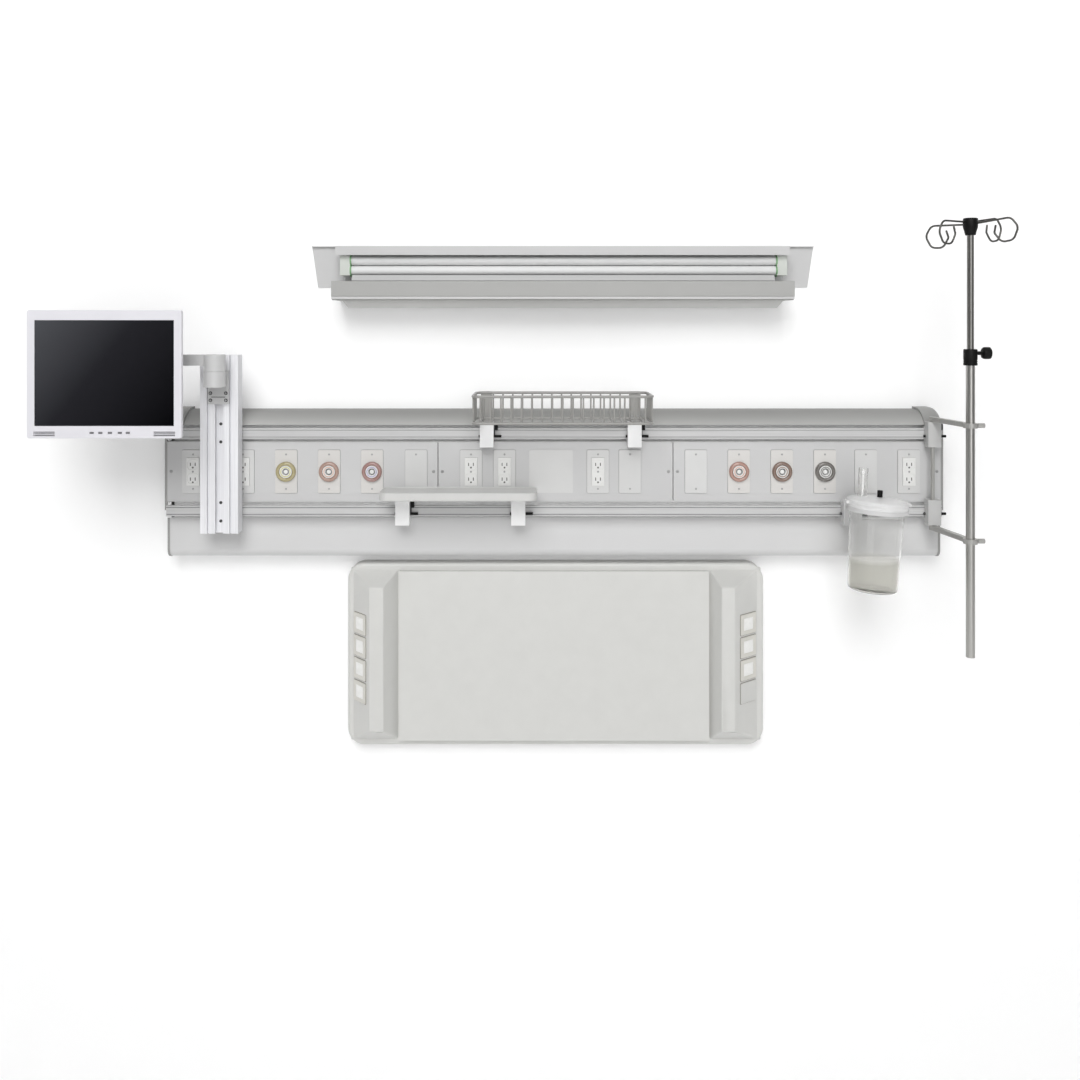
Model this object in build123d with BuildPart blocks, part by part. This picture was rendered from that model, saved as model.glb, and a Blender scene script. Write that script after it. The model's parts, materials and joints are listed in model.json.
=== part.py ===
from build123d import *
import os
from math import atan2, cos, degrees, radians, sin, tan

os.makedirs("parts", exist_ok=True)

# Frame: +X along the wall to the right, +Y into the wall, +Z up. The wall's face is Y = 0, so every
# depth below is a distance from the wall out into the room. The origin is the centre of the
# trunking's back. All values are millimetres unless a name says degrees.

# Trunking body
trunk_length = 2062.0
trunk_top = 192.0
trunk_bottom = -199.5
panel_depth = 90.0
lower_cover_depth = 70.0
cover_sheet = 2.5
chassis_wall = 3.0
seam = 0.05
top_cover_flat = 25.0
lower_cover_bend = 22.0
cover_flange = 20.0
upper_web_front = 82.5
top_flange_front = 85.0
fit_gap = 0.4
edge_round = 1.0

# How far a cutting shape runs past the face that it starts from
overrun = 1.0

# Equipment rails and the channels that they stand in
upper_rail_height = 134.0
lower_rail_height = -70.0
rail_width = 28.6
rail_thickness = 9.5
rail_back = 93.0
rail_groove = 2.4
rail_groove_depth = 1.4
rail_groove_offset = 9.0
rail_end_gap = 1.5
channel_half = 22.0
channel_floor = 60.0
spacer_radius = 7.0
spacer_end = 81.0
spacer_count = 6

# End caps
cap_plate = 6.0
cap_hood_length = 50.0
cap_hood_solid = 16.0
cap_proud = 6.0
cap_round = 14.0
cap_plate_proud = 1.0

# Service panels and what is set into them
panel_joint_shares = (-0.14908, 0.15296)
panel_joint_gap = 2.0
plate_width = 58.0
plate_height = 114.0
plate_thickness = 3.0
plate_round = 3.0
outlet_height = 32.5
# Places along the trunking, each as a share of its length from the middle
duplex_shares = (-0.46343, -0.39927, -0.10655, -0.06358, 0.05645, 0.45567)
gas_pitch_share = 0.05519
gas_centre_shares = (-0.28885, 0.29268)
blank_shares = (-0.17716, 0.09753, 0.18225, 0.40048)
double_blank_share = -0.00388
double_blank_width = 116.0
double_blank_thickness = 1.5
duplex_width = 34.0
duplex_face_height = 74.0
duplex_proud = 2.0
duplex_body_depth = 32.0
slot_length = 8.0
slot_width = 1.8
slot_depth = 6.0
slot_offset = 6.3
receptacle_offset = 19.5
ground_radius = 2.4
ground_drop = 8.5
box_wall = 1.6
box_depth = 62.0
gas_ring_outer = 26.5
gas_ring_inner = 17.0
gas_ring_proud = 9.0
gas_socket_radius = 16.6
gas_socket_proud = 5.0
gas_socket_bore = 9.0
gas_poppet_radius = 5.5
gas_poppet_proud = 3.0
gas_socket_back = 48.0
gas_pipe_radius = 6.0

# Screws that show: pan heads on the panels, the plates and in the column's channel
screw_head_radius = 4.0
screw_head_height = 2.0
screw_shank_radius = 2.0
screw_shank_length = 6.0
panel_screw_inset = 10.5
plate_screw_offset = 45.5
plate_screw_radius = 2.6
plate_screw_head = 1.0
screw_fit = 0.1

# Column and the clamps behind it
column_inset = 162.0
column_width = 98.5
column_front = 150.0
column_back = 112.0
column_bottom = -120.0
column_top = 343.0
column_groove = 5.0
column_groove_depth = 8.0
column_flange = 17.5
channel_mouth = 20.6
channel_inner = 34.6
channel_lip = 4.6
channel_depth = 15.0
column_clamp_width = 76.0
column_screw_heights = (163.0, 116.0, -42.0, -90.0)

# Rail clamps: a block in front of the rail, a claw over its top edge and one under its bottom edge
clamp_gap = 0.3
claw_thickness = 4.0
claw_grip = 5.5
clamp_half_height = 33.0
clamp_front = 130.0
lever_pin_radius = 3.5
lever_pin_fit = 0.06
lever_pin_drop = 6.0
lever_pin_inset = 6.0
lever_left_stub = 4.0
lever_right_stub = 20.0
lever_arm_thickness = 2.5
lever_arm_gap = 0.5
lever_tab_height = 16.0
lever_tab_width = 10.0
lever_tab_rise = 17.0

# Monitor arm
post_offset = 4.0
post_depth = 200.0
post_radius = 27.0
post_bottom = 263.0
post_top = 303.0
carriage_width = 54.0
carriage_bottom = 216.0
carriage_thickness = 7.0
runner_gap = 0.3
runner_screw_gap = 1.0
carriage_screw_x = 20.0
carriage_screw_heights = (226.0, 244.6)
arm_bottom = 318.0
arm_top = 346.0
arm_width = 24.0
spindle_radius = 9.0
spindle_fit = 0.06
arm_reach = 222.0
arm_end_depth = 215.0
arm_end_radius = 19.0
head_bottom = 286.0
head_drop_gap = 0.4
head_pin_radius = 7.0
head_cap_height = 4.0
head_cap_radius = 15.2
fork_width = 36.0
tilt_height = 302.0
tilt_depth = 266.0
tilt_knuckle_radius = 11.0
fork_half_height = 10.0
tilt_pin_radius = 4.0
tilt_pin_reach = 14.0
ear_thickness = 8.0
ear_gap = 0.4

# Monitor
monitor_width = 373.0
monitor_bottom = 148.0
monitor_top = 457.5
monitor_front = 340.0
bezel_thickness = 12.0
monitor_back = 292.0
housing_wall = 2.5
housing_taper = 34.0
housing_inset = 0.5
monitor_round = 6.0
screen_width = 336.0
screen_height = 255.0
screen_bottom = 178.0
screen_recess = 2.0
screen_thickness = 5.0
bezel_lip = 3.0
key_strip_height = 161.5
key_strip_offsets = (-30.0, -9.0, 14.0, 38.0, 57.0)
monitor_key_width = 9.0
monitor_key_height = 4.0
monitor_key_proud = 1.0
speaker_slot_height = 159.0
speaker_slot_length = 52.0
speaker_slot_offset = 145.0
speaker_slot_width = 2.2
speaker_slot_pitch = 4.2
bezel_round = 1.5
key_strip_back = 1.0

# Wire basket
basket_left = -207.0
basket_right = 245.0
basket_bottom = 175.0
basket_top = 248.0
basket_back = 133.0
basket_front = 290.0
rim_radius = 3.5
wire_radius = 2.2
wire_pitch = 25.4
basket_corner = 18.0
side_wire_count = 5
strap_width = 29.0
strap_thickness = 3.0
strap_overlap = 34.0
tongue_depth = 8.0
basket_clamp_x = (-176.5, 210.5)
basket_clamp_width = 36.0

# Shelf
shelf_left = -447.0
shelf_right = -45.0
shelf_top = -5.0
shelf_bottom = -26.0
shelf_back = 108.0
shelf_front = 215.0
shelf_corner = 22.0
shelf_wall = 3.0
shelf_edge_round = 4.0
shelf_clamp_x = (-397.0, -94.0)
shelf_clamp_width = 37.0

# Suction canister: it hangs a few degrees out of upright in its ring
jar_inset = 219.0
jar_depth = 230.0
jar_tilt_degrees = 3.5
jar_rim_height = -22.0
jar_top_radius = 67.0
jar_bottom_radius = 60.0
jar_height = 222.0
jar_wall = 2.5
jar_rim_radius = 71.5
jar_rim_thickness = 4.0
lid_radius = 75.5
lid_skirt = 20.0
lid_thickness = 4.0
lid_crown = 5.0
lid_fit = 0.3
lid_lug_width = 24.0
lid_lug_reach = 7.0
lid_lug_height = 9.0
tube_radius = 11.5
tube_wall = 1.5
tube_height = 74.0
tube_offset_x = -32.0
tube_offset_y = 26.0
stem_radius = 3.0
cap_knob_radius = 6.5
cap_knob_height = 17.0
cap_knob_x = 8.0
cap_knob_y = 10.0
cap_spigot_radius = 4.0
cap_spigot_length = 5.0
cap_spigot_fit = 0.08
bracket_offset = 31.5
bracket_width = 47.0
bracket_ring_height = 9.0
bracket_ring_wall = 8.0
bracket_ring_gap = 0.8
bracket_arm_width = 30.0
bracket_arm_height = 8.0
bracket_arm_drop = 4.0

# Infusion pole
block_inset = 37.0
block_width = 34.0
rod_radius = 5.0
rod_fit = 0.06
rod_offset = 2.0
rod_depth = 120.5
swing_arm_height = 12.0
swing_arm_gap = 1.0
swing_arm_width = 13.0
swing_boss_radius = 9.0
pole_offset = 27.0
pole_depth = 288.0
pole_ring_radius = 17.0
pole_fit = 0.08
lower_tube_radius = 10.75
lower_tube_wall = 1.5
lower_tube_bottom = -395.0
lower_tube_floor = 3.0
collar_radius = 16.5
collar_bottom = 322.0
collar_top = 362.0
collar_seat = 338.0
upper_tube_radius = 8.15
upper_tube_wall = 1.2
upper_tube_bottom = 42.0
ring_screw_radius = 3.0
ring_screw_head_radius = 6.0
ring_screw_head_length = 17.0
knob_height = 352.0
knob_stem_radius = 4.0
knob_stem_length = 12.0
knob_radius = 15.0
knob_length = 21.0
knob_round = 5.0
hook_head_top = 684.0
hook_head_height = 42.0
hook_head_cover = 22.0
hook_head_low_radius = 12.3
hook_head_radius = 17.5
hook_wire_radius = 2.4
hook_wire_drop = 10.0
hook_wire_step = 5.6
hook_plan_degrees = (26.0, -34.0)
hook_lean_degrees = 4.5

# Light
light_left = -660.0
light_right = 710.0
light_top = 635.0
light_height = 112.0
tray_sheet = 2.0
wing_slant = 16.0
wing_fold = 10.0
trough_left = -583.0
trough_right = 628.5
hood_depth = 76.0
hood_drop = 4.0
hood_lip = 24.0
tube_drops = (37.5, 64.5)
lamp_depth = 48.0
lamp_radius = 12.7
lamp_left = -573.0
lamp_right = 625.0
holder_width = 27.0
holder_half = 13.0
lamp_fit = 0.15
lamp_end_round = 2.0
shade_depth = 130.0
shade_drop = 94.0
shade_slope = 5.0
shade_nose = 40.0
shade_height = 55.0
shade_chin = 118.0
diffuser_height = 20.0
diffuser_inset = 25.0
diffuser_back = 30.0
diffuser_front = 112.0
diffuser_slope = 14.0
diffuser_back_slope = 7.0
diffuser_wall = 2.0

# Console
console_left = -556.0
console_right = 566.0
console_bottom = -714.0
console_top = -222.0
console_corner = 45.0
console_edge_depth = 40.0
console_wall = 3.0
console_edge_round = 9.0
centre_left = -415.0
centre_right = 416.0
centre_bottom = -696.0
centre_top = -241.0
centre_depth = 55.0
crest_depth = 95.0
crest_round = 5.0
crest_left = (-489.0, -452.0)
crest_right = (444.0, 479.0)
crest_bottom = -656.0
crest_top = -275.0
slope_outer = (-548.0, 560.0)
slope_bottom = -702.0
slope_top = -234.0
key_first = -378.4
key_pitch = 60.7
key_count = 4
key_height = 55.0
key_left_width = 56.0
key_right_width = 62.0
key_cut_depth = 16.0
key_proud = 2.6
key_gap = 0.5
key_travel = 2.0
key_spare = 1.0
key_round = 3.0
key_window = 1.0
key_window_share = 0.62
console_plate_fit = 0.3

# Wall fixings
wall_hole_radius = 4.5
chassis_hole_inset = 181.0
chassis_hole_heights = (60.0, -130.0)
console_hole_x = 400.0
console_hole_heights = (-300.0, -640.0)
light_hole_x = 500.0
light_hole_drops = (83.0, 20.0)

# Places that follow the trunking's two ends
column_x = column_inset - trunk_length / 2
post_x = column_x + post_offset
arm_end_x = post_x - arm_reach
monitor_x = arm_end_x
key_strip_x = tuple(monitor_x + offset for offset in key_strip_offsets)
jar_x = trunk_length / 2 - jar_inset
bracket_x = jar_x - bracket_offset
block_x = trunk_length / 2 - block_inset
rod_x = block_x - rod_offset
pole_x = block_x + pole_offset
chassis_hole_x = trunk_length / 2 - chassis_hole_inset

# Heights that follow the pole's head and the light's top edge
hook_head_bottom = hook_head_top - hook_head_height
upper_tube_top = hook_head_top - hook_head_cover
hook_wire_height = hook_head_top - hook_wire_drop
light_bottom = light_top - light_height
hood_height = light_top - hood_drop
tube_heights = tuple(hood_height - drop for drop in tube_drops)
shade_top = light_top - shade_drop
shade_nose_top = shade_top - shade_slope
shade_nose_bottom = shade_nose_top - shade_nose
shade_bottom = shade_top - shade_height
diffuser_bottom = shade_bottom - diffuser_height
light_hole_heights = tuple(light_top - drop for drop in light_hole_drops)

rail_front = rail_back + rail_thickness
panel_back = panel_depth - cover_sheet
upper_channel = (upper_rail_height - channel_half, upper_rail_height + channel_half)
lower_channel = (lower_rail_height - channel_half, lower_rail_height + channel_half)
chassis_half = trunk_length / 2 - cap_hood_solid
panel_end = trunk_length / 2 - cap_plate
duplex_x = tuple(share * trunk_length for share in duplex_shares)
gas_x = tuple((c + k * gas_pitch_share) * trunk_length for c in gas_centre_shares for k in (-1, 0, 1))
blank_x = tuple(share * trunk_length for share in blank_shares)
double_blank_x = double_blank_share * trunk_length
single_plates = duplex_x + gas_x + blank_x
clamp_top = upper_rail_height + clamp_half_height


def section(x):
    """Plane across the trunking at X, facing -X: first axis is depth, second is height."""
    return Plane(origin=(x, 0, 0), x_dir=(0, -1, 0), z_dir=(-1, 0, 0))


def front(depth):
    """Plane parallel to the wall at a depth, facing the room: X and height."""
    return Plane.XZ.offset(depth)


def plan(height):
    """Level plane at a height: X and Y."""
    return Plane.XY.offset(height)


def area(a, b, mode=Mode.ADD):
    """Rectangle between two values of each sketch axis."""
    with Locations(((a[0] + a[1]) / 2, (b[0] + b[1]) / 2)):
        Rectangle(abs(a[1] - a[0]), abs(b[1] - b[0]), mode=mode)


def block(xs, depths, heights, mode=Mode.ADD):
    """Box between two values of X, of depth and of height."""
    with Locations((sum(xs) / 2, -sum(depths) / 2, sum(heights) / 2)):
        Box(abs(xs[1] - xs[0]), abs(depths[1] - depths[0]), abs(heights[1] - heights[0]), mode=mode)


def rod(start, end, radius, mode=Mode.ADD):
    """Round bar from one point (X, depth, height) to another."""
    low = Vector(start[0], -start[1], start[2])
    high = Vector(end[0], -end[1], end[2])
    run = high - low
    with Locations(Plane(origin=low, z_dir=run)):
        Cylinder(radius, run.length, align=(Align.CENTER, Align.CENTER, Align.MIN), mode=mode)


def around(centre, half):
    """The two limits that lie half a width either side of a centre."""
    return (centre - half, centre + half)


def clamp(x, width, height):
    """Clamp block with its two claws round the rail at a height."""
    xs = around(x, width / 2)
    block(xs, (rail_front + clamp_gap, clamp_front), around(height, clamp_half_height))
    claws(xs, height, rail_front + clamp_gap)


def claws(xs, height, face):
    """Upper and lower claw: over the rail's edge and down behind it, from a block's back face."""
    back = rail_back - clamp_gap
    for side in (1, -1):
        edge = height + side * (rail_width / 2 + clamp_gap)
        tip = edge + side * claw_thickness
        block(xs, (back - claw_thickness, face), (edge, tip))
        block(xs, (back - claw_thickness, back), (edge - side * claw_grip, tip))


def lever_hole(x, width, height):
    """Bore through a clamp block for its cross pin."""
    pin_height = height - lever_pin_drop
    pin_depth = rail_front + lever_pin_inset
    low = (x - width / 2 - overrun, pin_depth, pin_height)
    high = (x + width / 2 + overrun, pin_depth, pin_height)
    rod(low, high, lever_pin_radius + lever_pin_fit, mode=Mode.SUBTRACT)


def cross_pin(x, width, height):
    """Pin through a clamp block, with a short stub at its left and a long one at its right."""
    pin_height = height - lever_pin_drop
    pin_depth = rail_front + lever_pin_inset
    low = (x - width / 2 - lever_left_stub, pin_depth, pin_height)
    high = (x + width / 2 + lever_right_stub, pin_depth, pin_height)
    rod(low, high, lever_pin_radius)


def lever(x, width, height):
    """Clamp lever: the cross pin, an arm up the block's right side and a thumb tab at its top."""
    cross_pin(x, width, height)
    pin_height = height - lever_pin_drop
    pin_depth = rail_front + lever_pin_inset
    arm_low = x + width / 2 + lever_arm_gap
    arm_high = arm_low + lever_arm_thickness
    tab_bottom = pin_height + lever_tab_rise
    depths = around(pin_depth, lever_tab_width / 2)
    block((arm_low, arm_high), depths, (pin_height, tab_bottom + lever_tab_height))
    block((arm_low, arm_low + lever_tab_width), depths, (tab_bottom, tab_bottom + lever_tab_height))


def top_outline(proud=0.0, low=upper_channel[1], mode=Mode.ADD):
    """Filled outline of the curved top: flat from the wall, then one arc down to the panels' face."""
    with BuildLine() as outline:
        flat = Line((0, trunk_top + proud), (top_cover_flat, trunk_top + proud))
        bend = TangentArc(flat @ 1, (panel_depth + proud, low), tangent=(1, 0))
        Polyline(bend @ 1, (0, low), flat @ 0)
    make_face(outline.edges(), mode=mode)


def lower_outline(inset=0.0, mode=Mode.ADD):
    """Filled outline of the lower cover: front face, one bend and the bottom."""
    reach = lower_cover_depth - inset
    bottom = trunk_bottom + inset
    bend = lower_cover_bend - inset
    with BuildLine() as outline:
        face = Line((reach, lower_channel[0] - fit_gap), (reach, bottom + bend))
        turn = TangentArc(face @ 1, (reach - bend, bottom), tangent=(0, -1))
        Polyline(turn @ 1, (0, bottom), (0, lower_channel[0] - fit_gap), face @ 0)
    make_face(outline.edges(), mode=mode)


# Wall chassis: flat strips welded at their edges, a wall plate and two rail channels on webs
web_top = upper_channel[1] + chassis_wall
with BuildPart() as wall_chassis:
    plate_heights = (trunk_bottom + cover_sheet, trunk_top - cover_sheet)
    block((-chassis_half, chassis_half), (0, chassis_wall), plate_heights)
    for centre in (upper_rail_height, lower_rail_height):
        stem = around(centre, chassis_wall / 2)
        block((-chassis_half, chassis_half), (chassis_wall + seam, channel_floor - seam), stem)
        floor = around(centre, channel_half + chassis_wall)
        block((-chassis_half, chassis_half), (channel_floor, channel_floor + chassis_wall), floor)
    web_back = channel_floor + chassis_wall + seam
    low_reach = lower_cover_depth - cover_sheet
    webs = (
        (upper_web_front, upper_channel[1]),
        (panel_back, upper_channel[0] - chassis_wall),
        (panel_back, lower_channel[1]),
        (low_reach, lower_channel[0] - chassis_wall),
    )
    for reach, low in webs:
        block((-chassis_half, chassis_half), (web_back, reach), (low, low + chassis_wall))
    for x in (-chassis_hole_x, chassis_hole_x):
        for height in chassis_hole_heights:
            rod((x, -overrun, height), (x, chassis_wall + overrun, height), wall_hole_radius, Mode.SUBTRACT)
wall_chassis.part.label = "wall_chassis"
export_step(wall_chassis.part, "parts/wall_chassis.step")

# Top cover: curved sheet, with an inner flange that lies on the chassis's upper web
with BuildPart() as top_cover:
    with BuildSketch(section(chassis_half)):
        top_outline()
        top_outline(proud=-cover_sheet, low=upper_channel[1] - edge_round, mode=Mode.SUBTRACT)
        flange_back = upper_web_front - cover_flange
        area((flange_back, top_flange_front), (web_top, web_top + cover_sheet))
    extrude(amount=2 * chassis_half)
top_cover.part.label = "top_cover"
export_step(top_cover.part, "parts/top_cover.step")

# Lower cover: sheet bent once, under the lower rail
with BuildPart() as lower_cover:
    with BuildSketch(section(panel_end)):
        lower_outline()
        lower_outline(inset=cover_sheet, mode=Mode.SUBTRACT)
    extrude(amount=2 * panel_end)
lower_cover.part.label = "lower_cover"
export_step(lower_cover.part, "parts/lower_cover.step")

# Service panels: three sheets in a row on the webs, cut out for what is set into them
panel_low = lower_channel[1] + fit_gap
panel_high = upper_channel[0] - fit_gap
panel_edges = [-panel_end]
for share in panel_joint_shares:
    joint = share * trunk_length
    panel_edges += [joint - panel_joint_gap / 2, joint + panel_joint_gap / 2]
panel_edges.append(panel_end)
panel_spans = list(zip(panel_edges[0::2], panel_edges[1::2]))
screw_places = [(x, outlet_height) for span in panel_spans
                for x in (span[0] + panel_screw_inset, span[1] - panel_screw_inset)]
with BuildPart() as service_panels:
    with BuildSketch(front(panel_back)):
        for span in panel_spans:
            area(span, (panel_low, panel_high))
        with Locations(*[(x, outlet_height) for x in duplex_x]):
            hole = 2 * (box_wall + fit_gap)
            Rectangle(duplex_width + hole, duplex_face_height + hole, mode=Mode.SUBTRACT)
        with Locations(*[(x, outlet_height) for x in gas_x]):
            Circle(gas_ring_inner + fit_gap, mode=Mode.SUBTRACT)
        with Locations(*screw_places):
            Circle(screw_shank_radius + screw_fit, mode=Mode.SUBTRACT)
    extrude(amount=cover_sheet)
service_panels.part.label = "service_panels"
export_step(service_panels.part, "parts/service_panels.step")

# End caps: a plate that closes the section, and a rounded hood that laps over the top cover
with BuildPart() as end_caps:
    with BuildSketch(section(trunk_length / 2)):
        top_outline(proud=cap_proud, low=upper_channel[1])
    extrude(amount=cap_hood_length)
    outer_rim = end_caps.faces().sort_by(Axis.X)[-1].edges().filter_by(lambda e: e.center().Z > web_top)
    fillet(outer_rim.filter_by(lambda e: e.center().Y < -overrun), radius=cap_round)
    with BuildSketch(section(trunk_length / 2 - cap_hood_solid)):
        top_outline()
        area((0, panel_depth), around(upper_channel[1], edge_round))
    extrude(amount=cap_hood_length, mode=Mode.SUBTRACT)
    with BuildSketch(section(trunk_length / 2)):
        area((0, panel_depth + cap_plate_proud), (lower_rail_height, upper_channel[1]))
        area((0, lower_cover_depth + cap_plate_proud), (trunk_bottom - cap_plate_proud, lower_rail_height))
    extrude(amount=cap_plate)
    bottom_edge = end_caps.edges().filter_by(Axis.X).sort_by(Axis.Z)[0:2].sort_by(Axis.Y)[0]
    fillet(bottom_edge, radius=lower_cover_bend)
    mirror(about=Plane.YZ)
end_caps.part.label = "end_caps"
export_step(end_caps.part, "parts/end_caps.step")


def rail(height):
    """Flat bar with two shallow grooves along its face and softened front edges."""
    with BuildSketch(section(panel_end - rail_end_gap)) as bar:
        area((rail_back, rail_front), around(height, rail_width / 2))
        fillet(bar.vertices().group_by(Axis.X)[-1], radius=edge_round)
        for side in (1, -1):
            groove = around(height + side * rail_groove_offset, rail_groove / 2)
            area((rail_front - rail_groove_depth, rail_front + overrun), groove, mode=Mode.SUBTRACT)
    extrude(bar.sketch, amount=2 * (panel_end - rail_end_gap))


# Rails: each is carried on its spacers in front of its channel
with BuildPart() as upper_rail:
    rail(upper_rail_height)
upper_rail.part.label = "upper_rail"
export_step(upper_rail.part, "parts/upper_rail.step")

with BuildPart() as lower_rail:
    rail(lower_rail_height)
lower_rail.part.label = "lower_rail"
export_step(lower_rail.part, "parts/lower_rail.step")

with BuildPart() as rail_spacers:
    for height in (upper_rail_height, lower_rail_height):
        for k in range(spacer_count):
            x = (k / (spacer_count - 1) - 1 / 2) * (trunk_length - 2 * spacer_end)
            rod((x, channel_floor + chassis_wall, height), (x, rail_back, height), spacer_radius)
rail_spacers.part.label = "rail_spacers"
export_step(rail_spacers.part, "parts/rail_spacers.step")

# Wall plates: openings for the outlets and holes for two screws each
plate_screws = [(x, outlet_height + side * plate_screw_offset)
                for x in single_plates for side in (1, -1)]
with BuildPart() as wall_plates:
    with BuildSketch(front(panel_depth)):
        with Locations(*[(x, outlet_height) for x in single_plates]):
            RectangleRounded(plate_width, plate_height, plate_round)
        with Locations(*[(x, outlet_height) for x in duplex_x]):
            Rectangle(duplex_width + fit_gap, duplex_face_height + fit_gap, mode=Mode.SUBTRACT)
        with Locations(*[(x, outlet_height) for x in gas_x]):
            Circle(gas_ring_inner + fit_gap, mode=Mode.SUBTRACT)
        with Locations(*plate_screws):
            Circle(screw_shank_radius + screw_fit, mode=Mode.SUBTRACT)
    extrude(amount=plate_thickness)
    with BuildSketch(front(panel_depth)):
        with Locations((double_blank_x, outlet_height)):
            RectangleRounded(double_blank_width, plate_height, plate_round)
    extrude(amount=double_blank_thickness)
wall_plates.part.label = "wall_plates"
export_step(wall_plates.part, "parts/wall_plates.step")

# Duplex outlets: a moulded face in the plate, two receptacles with two slots and a ground hole each
plate_front = panel_depth + plate_thickness
duplex_front = plate_front + duplex_proud
with BuildPart() as duplex_outlets:
    with BuildSketch(front(duplex_front - duplex_body_depth)):
        with Locations(*[(x, outlet_height) for x in duplex_x]):
            Rectangle(duplex_width - fit_gap, duplex_face_height - fit_gap)
    extrude(amount=duplex_body_depth)
    with BuildSketch(front(duplex_front - slot_depth)):
        for x in duplex_x:
            for side in (1, -1):
                middle = outlet_height + side * receptacle_offset
                with Locations((x - slot_offset, middle), (x + slot_offset, middle)):
                    Rectangle(slot_width, slot_length)
                with Locations((x, middle - ground_drop)):
                    Circle(ground_radius)
    extrude(amount=slot_depth, mode=Mode.SUBTRACT)
duplex_outlets.part.label = "duplex_outlets"
export_step(duplex_outlets.part, "parts/duplex_outlets.step")

# Outlet boxes: an open box behind each duplex outlet, its rim in the panel's cut-out
with BuildPart() as outlet_boxes:
    with BuildSketch(front(plate_front - plate_thickness - box_depth)):
        with Locations(*[(x, outlet_height) for x in duplex_x]):
            Rectangle(duplex_width + 2 * box_wall, duplex_face_height + 2 * box_wall)
    extrude(amount=box_depth)
    with BuildSketch(front(plate_front - plate_thickness - box_depth + box_wall)):
        with Locations(*[(x, outlet_height) for x in duplex_x]):
            Rectangle(duplex_width, duplex_face_height)
    extrude(amount=box_depth, mode=Mode.SUBTRACT)
outlet_boxes.part.label = "outlet_boxes"
export_step(outlet_boxes.part, "parts/outlet_boxes.step")

# Gas collars: a coloured ring on each gas plate
with BuildPart() as gas_collars:
    with BuildSketch(front(plate_front)):
        with Locations(*[(x, outlet_height) for x in gas_x]):
            Circle(gas_ring_outer)
            Circle(gas_ring_inner, mode=Mode.SUBTRACT)
    extrude(amount=gas_ring_proud)
    rims = gas_collars.edges().filter_by(GeomType.CIRCLE).group_by(Axis.Y)[0]
    chamfer(rims, length=edge_round)
gas_collars.part.label = "gas_collars"
export_step(gas_collars.part, "parts/gas_collars.step")

# Gas sockets: valve body through plate and panel, probe bore with a poppet, copper stub behind
with BuildPart() as gas_sockets:
    for x in gas_x:
        face = plate_front + gas_socket_proud
        rod((x, gas_socket_back, outlet_height), (x, face, outlet_height), gas_socket_radius)
        rod((x, gas_socket_back + box_wall, outlet_height), (x, face + overrun, outlet_height),
            gas_socket_bore, Mode.SUBTRACT)
        rod((x, gas_socket_back, outlet_height), (x, plate_front + gas_poppet_proud, outlet_height),
            gas_poppet_radius)
        rod((x, chassis_wall, outlet_height), (x, gas_socket_back, outlet_height), gas_pipe_radius)
gas_sockets.part.label = "gas_sockets"
export_step(gas_sockets.part, "parts/gas_sockets.step")

# Cover screws: pan heads at the panels' ends, on the plates and at the bottom of the column's channel
channel_face = column_front - channel_depth
with BuildPart() as cover_screws:
    for x, height in screw_places:
        rod((x, panel_depth - screw_shank_length, height), (x, panel_depth, height), screw_shank_radius)
        rod((x, panel_depth, height), (x, panel_depth + screw_head_height, height), screw_head_radius)
    for x, height in plate_screws:
        rod((x, panel_depth, height), (x, plate_front, height), screw_shank_radius)
        rod((x, plate_front, height), (x, plate_front + plate_screw_head, height), plate_screw_radius)
    for height in column_screw_heights:
        tip = channel_face - screw_shank_length
        rod((column_x, tip, height), (column_x, channel_face, height), screw_shank_radius)
        rod((column_x, channel_face, height), (column_x, channel_face + screw_head_height, height),
            screw_head_radius)
cover_screws.part.label = "cover_screws"
export_step(cover_screws.part, "parts/cover_screws.step")

# Column: extruded length with two face grooves and a T-shaped channel down the middle
groove_centre = column_width / 2 - column_flange - column_groove / 2
with BuildPart() as column:
    with BuildSketch(plan(column_bottom)):
        area(around(column_x, column_width / 2), (-column_front, -column_back))
        for side in (1, -1):
            groove = around(column_x + side * groove_centre, column_groove / 2)
            area(groove, (-column_front, -column_front + column_groove_depth), mode=Mode.SUBTRACT)
        mouth = around(column_x, channel_mouth / 2)
        inner = around(column_x, channel_inner / 2)
        area(mouth, (-column_front, -channel_face), mode=Mode.SUBTRACT)
        area(inner, (-column_front + channel_lip, -channel_face), mode=Mode.SUBTRACT)
    extrude(amount=column_top - column_bottom)
    for height in column_screw_heights:
        tip = (column_x, channel_face - screw_shank_length, height)
        rod(tip, (column_x, channel_face + overrun, height), screw_shank_radius + screw_fit, Mode.SUBTRACT)
column.part.label = "column"
export_step(column.part, "parts/column.step")

# Column clamps: one round each rail, their front faces against the column's back
with BuildPart() as column_clamps:
    for height in (upper_rail_height, lower_rail_height):
        xs = around(column_x, column_clamp_width / 2)
        block(xs, (rail_front + clamp_gap, column_back), around(height, clamp_half_height))
        claws(xs, height, rail_front + clamp_gap)
column_clamps.part.label = "column_clamps"
export_step(column_clamps.part, "parts/column_clamps.step")

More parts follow.
